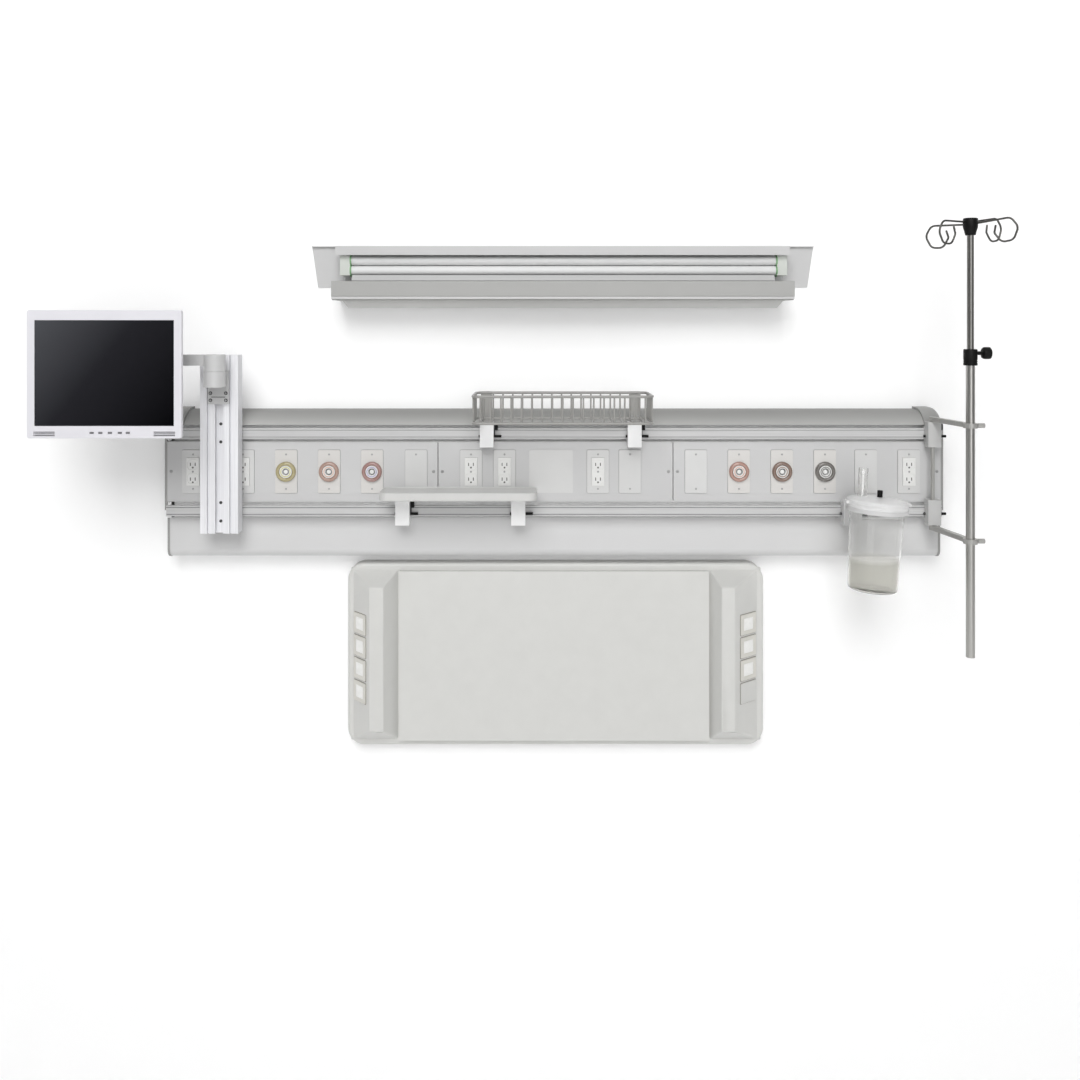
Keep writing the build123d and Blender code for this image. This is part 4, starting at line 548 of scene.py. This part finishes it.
for number, x in enumerate(GAS_X):
    collar_finish = moulded(f"gas_collar_tone_{number + 1}", COLLAR_TONES[number],
                            rough=0.22, grain=0.0, coat=0.6)
    ring_finish = moulded(f"gas_ring_tone_{number + 1}", RING_TONES[number],
                          rough=0.3, grain=0.0, coat=0.4)
    make_piece(f"gas_collar_{number + 1}", [turned(COLLAR, (x, -PLATE_FRONT, OUTLET_Z), OUT)],
               "wall_set", collar_finish, ("gas_collars",))
    make_piece(f"gas_face_{number + 1}", [turned(FACE, (x, -PLATE_FRONT - 5.0, OUTLET_Z), OUT)],
               "wall_set", finishes["outlet"])
    make_piece(f"gas_ring_{number + 1}", [turned(RING, (x, -PLATE_FRONT - 6.8, OUTLET_Z), OUT)],
               "wall_set", ring_finish)

# %% [markdown]
# ## Screws
# A pan head is a low dome with a cross pressed into it. The dome and the cross are one height over a
# round grid, h = rise sqrt(1 - (r / R)^2) less the cross's depth, worked out once and set down at
# every place by adding the places' centres to the whole array.

# %% Screw heads
def screw_heads(places, radius, rise):
    """Domes of one size, each with a cross-shaped recess nearly half its rise deep."""
    r = np.concatenate([[0.0, 0.08], np.linspace(0.16, 1.0, 14)])[::-1] * radius
    t = np.linspace(0, 2 * pi, 32, endpoint=False)
    x, z = r[:, None] * np.cos(t), r[:, None] * np.sin(t)
    dome = 0.35 * rise + 0.65 * rise * np.sqrt(np.clip(1 - (r[:, None] / radius) ** 2, 0, 1))
    wing, length = 0.15 * radius, 0.58 * radius
    upright = np.maximum(np.abs(x) / wing, np.abs(z) / length)
    level_bar = np.maximum(np.abs(z) / wing, np.abs(x) / length)
    near = np.minimum(upright, level_bar)
    depth = dome - 0.45 * rise * np.clip((1.25 - near) / 0.4, 0, 1)
    foot = np.zeros((1, len(t)))
    x, z = np.concatenate([x[:1], x]), np.concatenate([z[:1], z])
    depth = np.concatenate([foot, depth + 0 * x[1:]])
    head = np.stack([x, -depth, z], axis=-1)
    base = head[:1] * 0
    head = np.concatenate([base, head])
    return [(head + np.array(place), False) for place in places]


PANEL_SCREWS = [(x, -90.0, OUTLET_Z) for x in (-1014.5, -318.9, -295.9, 303.9, 326.9, 1014.5)]
DUPLEX_X = (-955.6, -823.3, -219.7, -131.1, 116.4, 939.6)
BLANK_X = (-365.3, 201.1, 375.8, 825.8)
PLATE_X = (*DUPLEX_X, *GAS_X, *BLANK_X)
PLATE_SCREWS = [(x, -PLATE_FRONT, OUTLET_Z + side * 45.5) for x in PLATE_X for side in (1, -1)]
COLUMN_SCREWS = [(COLUMN_X, -135.0, z) for z in (163.0, 116.0, -42.0, -90.0)]
CARRIAGE_SCREWS = [(COLUMN_X + side * 20.0, -CARRIAGE_FRONT, z)
                   for side in (1, -1) for z in (226.0, 244.6)]
make_piece("screw_heads", [*screw_heads(PANEL_SCREWS, 4.0, 2.0), *screw_heads(PLATE_SCREWS, 2.6, 1.0)],
           "wall_set", finishes["screw"], ("cover_screws",))
make_piece("column_screw_heads", screw_heads(COLUMN_SCREWS, 4.0, 2.0), "wall_set",
           finishes["dark_screw"])
seam = slab(36.0, 1.8, 0.5, (COLUMN_X, -CARRIAGE_FRONT + 0.2, 234.5), ACROSS, UP, 0.45, 0.1)
make_piece("carriage_seam", [seam], home["arm_post"], finishes["dark_screw"])
make_piece("carriage_screw_heads", screw_heads(CARRIAGE_SCREWS, 4.6, 2.9), home["arm_post"],
           finishes["dark_screw"])

# %% [markdown]
# ## Duplex outlets
# Each outlet has two faces with two slots and a round earth hole, already cut in the solid. What the
# eye catches is the raised lip round each face, so a lip is carried round a rounded outline.

# %% Outlet lips
lips = []
for x in DUPLEX_X:
    for side in (1, -1):
        outline = round_rectangle(29.0, 27.0, 9.0)
        heights = OUTLET_Z + side * 18.0 + outline[:, 1]
        path = np.stack([x + outline[:, 0], np.full(len(outline), -95.1), heights], -1)
        lips.append(bar(path, 0.9, OUT, sides=8, closed=True))
make_piece("outlet_lips", lips, "wall_set", finishes["outlet"])
make_piece("outlet_middle_screws", screw_heads([(x, -95.0, OUTLET_Z) for x in DUPLEX_X], 2.6, 1.0),
           "wall_set", finishes["screw"])

# %% [markdown]
# ## Dark lines
# A slot, the gap round a plate or a groove lies in shade and reads as a dark line. Each is painted
# shadow: a thin dark plate laid in its place, at the mouths of the outlets' slots, round each wall
# plate, and along the rails' grooves.

# %% Painted slot, plate and groove shadows
# painted shadow: dark plates at the mouths of the two slots and the earth hole
slot_shadows = []
for x in DUPLEX_X:
    for side in (1, -1):
        middle = OUTLET_Z + side * 19.5
        for hand in (1, -1):
            slot_place = (x + hand * 6.3, -94.9, middle)
            slot_shadows.append(slab(2.4, 8.4, 0.5, slot_place, ACROSS, UP, 0.35, 0.1))
        slot_shadows.append(slab(4.8, 4.8, 2.3, (x, -94.9, middle - 8.5), ACROSS, UP, 0.35, 0.1))
make_piece("outlet_slot_shadows", slot_shadows, "wall_set", finishes["dark_slot"])
# painted shadow: a grey rim round each wall plate for the gap in shade at its edge
rim_shadows = [slab(59.6, 115.6, 3.6, (x, -89.9, OUTLET_Z), ACROSS, UP, 0.7, 0.2) for x in PLATE_X]
make_piece("plate_rim_shadows", rim_shadows, "wall_set", finishes["rim_shadow"])
# painted shadow: dark strips along each rail's grooves, darker at the lower rail
for name, tone in (("upper", 158), ("lower", 128)):
    shadow = moulded(name + "_groove_shadow", linear(tone, tone, tone), rough=0.6)
    grooves = [slab(2046.0, 2.3, 0.5, (0, -101.2, RAIL_Z[name] + side * 9.0), ACROSS, UP, 0.9, 0.2)
               for side in (1, -1)]
    make_piece(name + "_groove_painted_shadow", grooves, "wall_set", shadow)

# %% [markdown]
# Three clamps have a plain cross pin in place of a lever. Its ends stand out on both sides and are
# black like the levers, so a sleeve with rounded ends is turned over each. The rails' channels are
# closed at both ends of the trunking by pale liners.

# %% Pin ends and channel liners
PIN_DEPTH, PIN_Z = 108.5, -76.0
LONG_END, SHORT_END, SUNK = 20.6, 4.6, 0.3
for node, x, width in (("shelf_clamps", -94.0, 37.0), ("canister_bracket", 780.5, 47.0),
                       ("pole_blocks", 994.0, 34.0)):
    sleeves = []
    for start, length in ((x + width / 2 - SUNK, LONG_END), (x - width / 2 - SHORT_END + SUNK, SHORT_END)):
        sleeve = [(0, 0), (2.9, 0), (3.7, 0.8), (3.7, length - 0.8), (2.9, length), (0, length)]
        sleeves.append(turned(sleeve, (start, -PIN_DEPTH, PIN_Z), ACROSS, sides=24))
    make_piece("pin_ends_" + node, sleeves, home[node], finishes["black"])
liners = [slab(14.0, 42.0, 1.0, (side * 1022.6, -84.0, z), ACROSS, UP, 1.5, 0.3)
          for side in (1, -1) for z in RAIL_Z.values()]
make_piece("channel_liners", liners, "wall_set", finishes["chassis"])

# %% [markdown]
# ## Wire basket
# The real basket is bent and welded from round wire: two rims, and U-shaped wires that run down the
# back, under the floor and up the front. Each wire is a circle carried along a path with bent
# corners, so it bends as wire does, and the welds are where the wires sink a little into the rims.

# %% Basket
RIM_LEFT, RIM_RIGHT, RIM_BACK, RIM_FRONT = -203.5, 241.5, 136.5, 286.5
RIM_LOW, RIM_HIGH = 178.5, 244.5
WIRE_PITCH = 25.4
STRAP_X = (-176.5, 210.5)


def basket_rim(height):
    """Closed bar round the basket with bent corners."""
    corners = [(RIM_LEFT, -RIM_BACK, height), (RIM_LEFT, -RIM_FRONT, height),
               (RIM_RIGHT, -RIM_FRONT, height), (RIM_RIGHT, -RIM_BACK, height)]
    return bar(bent_path(corners, 18.0, closed=True), 3.5, UP, sides=14, closed=True)


span = RIM_RIGHT - RIM_LEFT - 36.0
wire_count = int(span // WIRE_PITCH) + 1
wire_x = (RIM_LEFT + RIM_RIGHT) / 2 + (np.arange(wire_count) - (wire_count - 1) / 2) * WIRE_PITCH
wires = [basket_rim(RIM_HIGH), basket_rim(RIM_LOW)]
for x in wire_x:
    hoop = [(x, -RIM_BACK - 1.0, RIM_HIGH), (x, -RIM_BACK - 1.0, RIM_LOW - 1.0),
            (x, -RIM_FRONT + 1.0, RIM_LOW - 1.0), (x, -RIM_FRONT + 1.0, RIM_HIGH)]
    wires.append(bar(bent_path(hoop, 6.0), 2.2, ACROSS, sides=10))
for x, inward in ((RIM_LEFT, 1), (RIM_RIGHT, -1)):
    for depth in np.linspace(RIM_BACK + 18.0, RIM_FRONT - 18.0, 5):
        stake = [(x + inward, -depth, RIM_HIGH), (x + inward, -depth, RIM_LOW)]
        wires.append(bar(np.linspace(*stake, 4), 2.2, ACROSS, sides=10))
for x in STRAP_X:
    wires.append(slab(29.0, 81.0, 3.0, (x, -130.0, 207.5), ACROSS, UP, 6.5, 0.8))
make_piece("basket_wires", wires, "basket_set", finishes["wire"], ("basket",))
strap_places = [(x + side * 8.0, -136.5, 184.0) for x in STRAP_X for side in (1, -1)]
make_piece("strap_screws", screw_heads(strap_places, 3.0, 1.4), "basket_set",
           finishes["screw"])

# %% [markdown]
# ## Suction canister
# A clear jar hangs a few degrees out of upright in its ring. Clear plastic shows its thickness at
# the rim and the base, so the jar is one closed profile with both its walls, a bead at its rim and
# softly rounded foot. The lid is a crowned cap with a finger rib round its skirt.

# %% Clear plastic
clear, clear_tree, clear_shader = new_finish("canister_clear", Transmission_Weight=0.97, IOR=1.18,
                                             Coat_Weight=0.4)
clear_mist = object_grain(clear_tree, 40.0)
clear_tone = two_tones(clear_tree, clear_mist.outputs["Fac"], (0.96, 0.96, 0.955), (0.985, 0.985, 0.98))
# painted shade: below a height level with the trunking's lower edge the jar turns darker, standing in for
# the shaded wall seen through it
painted_shade_tone = mixed(clear_tree, by_height(clear_tree, -0.172, -0.160), (0.76, 0.755, 0.72), clear_tone)
clear_tree.links.new(painted_shade_tone, clear_shader.inputs["Base Color"])
clear_tree.links.new(level(clear_tree, clear_mist.outputs["Fac"], 0.0, 0.03),
                     clear_shader.inputs["Roughness"])
frosted, frosted_tree, frosted_shader = new_finish("canister_lid_white", Transmission_Weight=0.35,
                                                   IOR=1.3)
lid_mist = object_grain(frosted_tree, 60.0)
lid_tone = two_tones(frosted_tree, lid_mist.outputs["Fac"], (0.90, 0.90, 0.90), (0.95, 0.95, 0.95))
frosted_tree.links.new(lid_tone, frosted_shader.inputs["Base Color"])
frosted_tree.links.new(level(frosted_tree, lid_mist.outputs["Fac"], 0.18, 0.3),
                       frosted_shader.inputs["Roughness"])

# %% Jar, lid, valve tube and cap
LEAN = radians(3.5)
JAR_AXIS = np.array((np.sin(LEAN), 0, np.cos(LEAN)))
JAR_RIM = np.array((812.0, -230.0, -22.0))
JAR_SIDE = np.array((np.cos(LEAN), 0, -np.sin(LEAN)))


def on_lid(x, y, rise):
    """Point over the lid: x and y across the jar's axis, rise along it."""
    return JAR_RIM + JAR_SIDE * x + np.array((0, 1.0, 0)) * y + JAR_AXIS * rise


JAR = [(0, -222), (52, -222), (57, -221), (59.6, -218.5), (60.3, -214), (66.8, -9), (67.6, -6),
       (71.0, -5.2), (71.5, -4.2), (71.5, -0.8), (70.8, 0), (66.0, 0), (64.6, -1.2), (64.3, -9),
       (58.0, -212), (57.0, -217), (54.0, -219.3), (0, -219.5)]
make_piece("canister_bowl", [turned(JAR, JAR_RIM, JAR_AXIS, sides=72)], "jar", clear,
           ("canister_jar",))
LID = [(0, 9.0), (20, 8.9), (50, 7.4), (66, 5.2), (73, 3.6), (75.2, 1.8), (75.5, -1), (75.5, -5),
       (74.6, -6), (74.6, -13), (75.5, -14), (75.5, -15), (75.0, -16), (71.9, -16), (71.8, -15.4),
       (71.8, 0), (0, 0)]
lugs = [slab(24.0, 8.6, 2.0, on_lid(side * 73.0, 0, -4.4), np.array((0, side * 1.0, 0)), JAR_AXIS, 9.0, 1.2)
        for side in (1, -1)]
make_piece("canister_cover", [turned(LID, JAR_RIM, JAR_AXIS, sides=72), *lugs], "lid",
           frosted, ("canister_lid",))
TUBE = [(10.0, 6), (11.5, 6), (11.5, 76.5), (11.0, 78), (10.4, 78), (10.0, 76.5)]
STEM = [(0, 6), (3.0, 6), (3.0, 60), (4.6, 62), (4.6, 70), (3.8, 72), (0, 72)]
tube_foot = on_lid(-32.0, 26.0, 0)
make_piece("canister_valve_tube", [turned(TUBE, tube_foot, JAR_AXIS, sides=32)], "lid",
           clear, ("canister_tube",))
make_piece("canister_valve_stem", [turned(STEM, tube_foot, JAR_AXIS, sides=24)], "lid",
           frosted)
CAP = [(0, 4.2), (4.0, 4.2), (4.0, 9.4), (6.5, 9.4), (6.5, 24.5), (6.0, 25.9), (5.0, 26.4), (0, 26.4)]
make_piece("canister_knob",
           [turned(CAP, on_lid(8.0, 10.0, 0), JAR_AXIS, sides=40, lobes=10, lobe_depth=0.02)], "cap",
           finishes["black"], ("canister_cap",))

# %% [markdown]
# ## Pole hardware
# The pole's collar and knob are black mouldings. The knob has shallow lobes for the fingers: its
# radius swells and shrinks five times round. The four hooks are bent wire with rounded ends.

# %% Collar, knob and hooks
POLE = np.array((1021.0, -288.0, 0.0))
COLLAR_BODY = [(8.3, 338.2), (10.9, 338.0), (10.9, 322.0), (15.6, 322.0), (16.4, 322.8), (16.5, 324.0),
               (16.5, 328.0), (15.9, 328.6), (15.9, 330.4), (16.5, 331.0), (16.5, 333.0), (15.9, 333.6),
               (15.9, 335.4), (16.5, 336.0), (16.5, 359.5), (15.8, 361.3), (14.6, 362.0), (9.2, 362.0),
               (8.3, 361.2)]
make_piece("pole_collar_moulding", [turned(COLLAR_BODY, POLE, UP, sides=56)], "lower_pole",
           finishes["black"], ("pole_collar",))
KNOB = [(0, 0), (4.6, 0), (4.8, 10), (9.0, 12.0), (13.2, 13.6), (14.6, 16.0), (14.8, 20.0),
        (14.8, 28.0), (14.0, 31.0), (12.0, 32.6), (6.0, 33.0), (0, 33.0)]
STEM_START = POLE + np.array((16.6, 0, 352.0))
STUD = [(0, -8.0), (3.9, -8.0), (3.9, 1.0), (0, 1.0)]
make_piece("collar_grip",
           [turned(KNOB, STEM_START + (0.1, 0, 0), ACROSS, sides=60, lobes=5, lobe_depth=0.03),
            turned(STUD, STEM_START, ACROSS, sides=24)], "knob",
           finishes["black"], ("collar_knob",))

HOOK_POINTS = np.array([(0, 0), (92, 7), (108, -18), (95, -48), (68, -51), (53, -27), (57, -10)], float)
HOOK_BENDS = [16, 20, 16, 16, 8]
HOOK_RISE = np.tan(radians(4.5))
hooks = []
for step, plan_angle in enumerate((26.0, -34.0)):
    for opposite in (0, 180):
        turn = radians(plan_angle + opposite)
        along = unit((np.cos(turn), np.sin(turn), HOOK_RISE * np.cos(turn)))
        across = unit((-np.sin(turn), np.cos(turn), 0))
        upright = np.cross(across * -1, along)
        root = POLE + UP * (674.0 - 5.6 * step)
        arm = root + HOOK_POINTS[:, :1] * along + HOOK_POINTS[:, 1:] * upright
        hooks.append(bar(bent_path(arm, HOOK_BENDS, spacing=1.5), 2.4, across, sides=14))
make_piece("hook_bends", hooks, "upper_pole", finishes["hook"], ("hook_wires",))
HEAD = [(8.2, 642), (11.6, 642), (12.3, 643), (14.4, 652), (17.0, 660), (17.5, 664), (17.5, 681.5),
        (16.4, 683.5), (14.0, 684), (0, 684), (0, 662), (8.2, 662)]
make_piece("hook_boss", [turned(HEAD, POLE, UP, sides=56)], "upper_pole",
           finishes["black"], ("hook_head",))

# %% [markdown]
# ## Lamp tubes
# A fluorescent tube is white glass with a metal cap and two pins at each end. Glass and caps are
# turned from one profile each, along the wall. A white sheet behind them throws their light
# forward, a sloped foot closes it below the lower tube, and a paler strip along the shade's nose is
# a painted highlight of its lit lower edge.

# %% Lamp tubes, reflector and painted highlight on the shade
TUBE_Z = (593.5, 566.5)
TUBE_Y = -48.0
GLASS = [(0, -573), (11.6, -573), (12.6, -560), (12.7, -556), (12.7, 608), (12.6, 612), (11.6, 625),
         (0, 625)]
CAPS = ([(0, -572.6), (12.9, -572.6), (12.9, -560.5), (12.2, -559.5), (0, -559.5)],
        [(0, 611.5), (12.2, 611.5), (12.9, 612.5), (12.9, 624.6), (0, 624.6)])
glow, glow_tree, glow_shader = new_finish("lamp_glass_white", Roughness=0.45, Coat_Weight=0.1)
glow_cloud = object_grain(glow_tree, 3.0)
glass_tone = two_tones(glow_tree, glow_cloud.outputs["Fac"], linear(221, 222, 222), linear(227, 227, 227))
glow_tree.links.new(glass_tone, glow_shader.inputs["Base Color"])
glass_tubes, glass_caps = [], []
for z in TUBE_Z:
    glass_tubes.append(turned(GLASS, (0, TUBE_Y, z), ACROSS, sides=40))
    glass_caps += [turned(profile, (0, TUBE_Y, z), ACROSS, sides=40) for profile in CAPS]
reflector = slab(1196.0, 74.0, 2.0, (26.0, -2.0, 578.0), ACROSS, UP, 1.0, 0.4)
make_piece("light_reflector", [reflector], "wall_set", finishes["reflector"])
# painted highlight: a paler strip along the shade's lower nose edge, where it catches the light
lip = slab(1209.5, 6.5, 0.5, (22.75, -129.8, 491.8), ACROSS, UP, 1.5, 0.2)
make_piece("shade_nose_painted_highlight", [lip], "wall_set", finishes["light_sheet"])
foot = slab(1130.0, 18.0, 1.0, (25.0, -67.0, 546.5), ACROSS, (0, 10.0, 15.0), 0.8, 0.3)
make_piece("reflector_foot", [foot], "wall_set", finishes["light_sheet"])
RING_BAND = [(12.8, 0), (16.2, 0), (16.2, 3.6), (12.8, 3.6)]
bands = [turned(RING_BAND, (x, TUBE_Y, z), ACROSS, sides=40) for x in (-546.6, 595.6) for z in TUBE_Z]
make_piece("lamp_holder_rings", bands, "wall_set", finishes["green"])
make_piece("lamp_glass", glass_tubes, "wall_set", glow, ("lamp_tubes",))
make_piece("lamp_caps", glass_caps, "wall_set", finishes["rail"])

# %% [markdown]
# ## Monitor face
# A switched-off screen is nearly black and slightly glossy. Its grey haze is a painted reflection of
# the bright side of the room: the colour runs from dark grey at the upper left to black at the lower
# right. The speaker slots are in the solids, and the five key caps are thin rounded plates.

# %% Screen and keys
screen, screen_tree, screen_shader = new_finish("screen_black_painted_reflection", Roughness=0.45, Specular_IOR_Level=0.02)
place = add_node(screen_tree, "ShaderNodeTexCoord")
split = add_node(screen_tree, "ShaderNodeSeparateXYZ", {"Vector": place.outputs["Object"]})
right = add_node(screen_tree, "ShaderNodeMapRange", {"Value": split.outputs["X"]})
for key, value in zip(("From Min", "From Max", "To Min", "To Max"), (-1.255, -0.919, 0.0, 0.62)):
    right.inputs[key].default_value = value
down = add_node(screen_tree, "ShaderNodeMapRange", {"Value": split.outputs["Z"]})
for key, value in zip(("From Min", "From Max", "To Min", "To Max"), (0.433, 0.178, 0.0, 0.38)):
    down.inputs[key].default_value = value
both = add_node(screen_tree, "ShaderNodeMath", operation="ADD")
screen_tree.links.new(right.outputs[0], both.inputs[0])
screen_tree.links.new(down.outputs[0], both.inputs[1])
# painted reflection: dark grey at the upper left fading to black at the lower right
painted_reflection = add_node(screen_tree, "ShaderNodeValToRGB", {"Fac": both.outputs[0]})
painted_reflection.color_ramp.elements[0].color = (*linear(74, 75, 79), 1)
painted_reflection.color_ramp.elements[1].color = (*linear(4, 4, 6), 1)
middle = painted_reflection.color_ramp.elements.new(0.45)
middle.color = (*linear(34, 34, 38), 1)
screen_tree.links.new(painted_reflection.outputs["Color"], screen_shader.inputs["Base Color"])
wear("monitor_screen", screen)
keys = [slab(8.2, 3.4, 1.4, (-1087.0 + offset, -341.0, 161.5), ACROSS, UP, 0.4, 0.15)
        for offset in (-30.0, -9.0, 14.0, 38.0, 57.0)]
make_piece("monitor_key_caps", keys, home["monitor_key_strip"],
           finishes["housing"])

# %% [markdown]
# ## Console keys
# Each key has a white label window sunk in its cap. The window is a thin rounded plate laid on the
# key's slope, so its place comes from the slope's middle and its two directions. A dark line of
# painted shadow runs round each key, and round the plain place at the foot of the right side, for
# the gap in shade between key and shell.

# %% Key windows
SLOPES = {0: (-548.0, -489.0, 56.0), 1: (560.0, 479.0, 62.0)}
SLOPE_BACK, SLOPE_FRONT = 31.0, 95.0
SLOPE_MIDDLE = (SLOPE_BACK + SLOPE_FRONT) / 2
TOP_KEY_Z, KEY_PITCH, KEY_HEIGHT = -378.4, 60.7, 54.0
label, label_tree, label_shader = new_finish("key_label_white", Roughness=0.35, Coat_Weight=0.5)
label_cloud = object_grain(label_tree, 80.0)
label_tone = two_tones(label_tree, label_cloud.outputs["Fac"], linear(236, 236, 233), linear(244, 244, 242))
label_tree.links.new(label_tone, label_shader.inputs["Base Color"])
# painted shadow: a dark line round each key for the gap in shade between key and shell
gaps = []
number = 0
for side, (outer, crest, width) in SLOPES.items():
    run = np.array((crest - outer, -(SLOPE_FRONT - SLOPE_BACK), 0.0))
    normal = np.cross(run, UP) if side == 0 else np.cross(UP, run)
    normal = unit(normal * np.sign(-normal[1]))
    across = np.cross(UP, normal)
    for row in range(4):
        edge = round_rectangle(width + 0.6, KEY_HEIGHT + 1.6, 3.2)
        middle = np.array(((outer + crest) / 2, -SLOPE_MIDDLE, TOP_KEY_Z - KEY_PITCH * row))
        frame_path = middle + normal * 0.3 + edge[:, :1] * across + edge[:, 1:] * UP
        gaps.append(bar(frame_path, 0.8, normal, sides=8, closed=True))
        if side == 1 and row == 3:
            continue
        number += 1
        window = slab((width - 1) * 0.6, KEY_HEIGHT * 0.6, 2.0, middle + normal * 1.5, across, UP, 0.9, 0.3)
        make_piece(f"key_window_{number}", [window], f"key_{number}", label)
make_piece("key_gap_painted_shadows", gaps, "wall_set", finishes["key_gap"])
print("key windows:", number)

# %% [markdown]
# ## Wall, floor and light
# The unit hangs on a white wall and throws a soft shadow below itself. A wall lit to pure white
# would need so much light that the pale sheets burn out. So its own colour is a plain white, and a
# little glow that only the camera, mirrors and glass see lifts it to the page's white, while lamps
# light it as they light the rest, and their shadow stays. From behind, the wall is let through.

# %% Wall and floor
def backdrop(name, corners, glow):
    """One four-cornered sheet: white, with a faint glow for the camera, and open from its back."""
    mesh = bpy.data.meshes.new(name)
    mesh.from_pydata(corners, [], [(0, 1, 2, 3)])
    sheet = bpy.data.objects.new(name, mesh)
    bpy.context.scene.collection.objects.link(sheet)
    material, tree, shader = new_finish(name, Base_Color=(0.9, 0.9, 0.9, 1), Roughness=0.9,
                                        Specular_IOR_Level=0.1)
    path = add_node(tree, "ShaderNodeLightPath")
    seen = add_node(tree, "ShaderNodeMath", operation="MAXIMUM")
    tree.links.new(path.outputs["Is Camera Ray"], seen.inputs[0])
    tree.links.new(path.outputs["Is Glossy Ray"], seen.inputs[1])
    through = add_node(tree, "ShaderNodeMath", operation="MAXIMUM")
    tree.links.new(seen.outputs[0], through.inputs[0])
    tree.links.new(path.outputs["Is Transmission Ray"], through.inputs[1])
    lamp = add_node(tree, "ShaderNodeEmission", {}, Color=(1, 1, 1, 1))
    tree.links.new(level(tree, through.outputs[0], 0.0, glow), lamp.inputs["Strength"])
    both = add_node(tree, "ShaderNodeAddShader")
    tree.links.new(shader.outputs[0], both.inputs[0])
    tree.links.new(lamp.outputs[0], both.inputs[1])
    clear = add_node(tree, "ShaderNodeBsdfTransparent")
    side = add_node(tree, "ShaderNodeNewGeometry")
    choose = add_node(tree, "ShaderNodeMixShader", {"Fac": side.outputs["Backfacing"]})
    tree.links.new(both.outputs[0], choose.inputs[1])
    tree.links.new(clear.outputs[0], choose.inputs[2])
    tree.links.new(choose.outputs[0], tree.nodes["Material Output"].inputs["Surface"])
    mesh.materials.append(material)


WALL_Y = 0.001
FLOOR_Z = -1.75
ROOM = 8.0
LEFT_FOOT, RIGHT_FOOT = (-ROOM, WALL_Y, FLOOR_Z), (ROOM, WALL_Y, FLOOR_Z)
backdrop("wall", [LEFT_FOOT, RIGHT_FOOT, (ROOM, WALL_Y, ROOM), (-ROOM, WALL_Y, ROOM)], glow=0.13)
backdrop("floor", [(-ROOM, -ROOM, FLOOR_Z), (ROOM, -ROOM, FLOOR_Z), RIGHT_FOOT, LEFT_FOOT], glow=0.25)

# %% Lamps and world
def soft_lamp(name, place, target, size, power):
    """Square area lamp at a place, turned to a target."""
    data = bpy.data.lights.new(name, "AREA")
    data.size = size
    data.energy = power
    lamp = bpy.data.objects.new(name, data)
    lamp.location = place
    run = np.array(target) - np.array(place)
    lamp.rotation_euler = Vector(run).to_track_quat("-Z", "Y").to_euler()
    bpy.context.scene.collection.objects.link(lamp)


soft_lamp("key_lamp", (-0.6, -6.6, 5.0), (0, 0, 0), 4.5, 440)
soft_lamp("fill_lamp", (1.2, -8.0, 0.8), (0, 0, 0), 4.5, 120)
world = bpy.data.worlds.new("studio")
bpy.context.scene.world = world
world.use_nodes = True
sky = world.node_tree
sky_light = sky.nodes["Background"]
sky_light.inputs["Color"].default_value = (1, 1, 1, 1)
path = add_node(sky, "ShaderNodeLightPath")
sky_seen = add_node(sky, "ShaderNodeMath", operation="MAXIMUM")
sky.links.new(path.outputs["Is Camera Ray"], sky_seen.inputs[0])
sky.links.new(path.outputs["Is Transmission Ray"], sky_seen.inputs[1])
sky.links.new(level(sky, sky_seen.outputs[0], 0.20, 1.0), sky_light.inputs["Strength"])
print("lamps and world set")
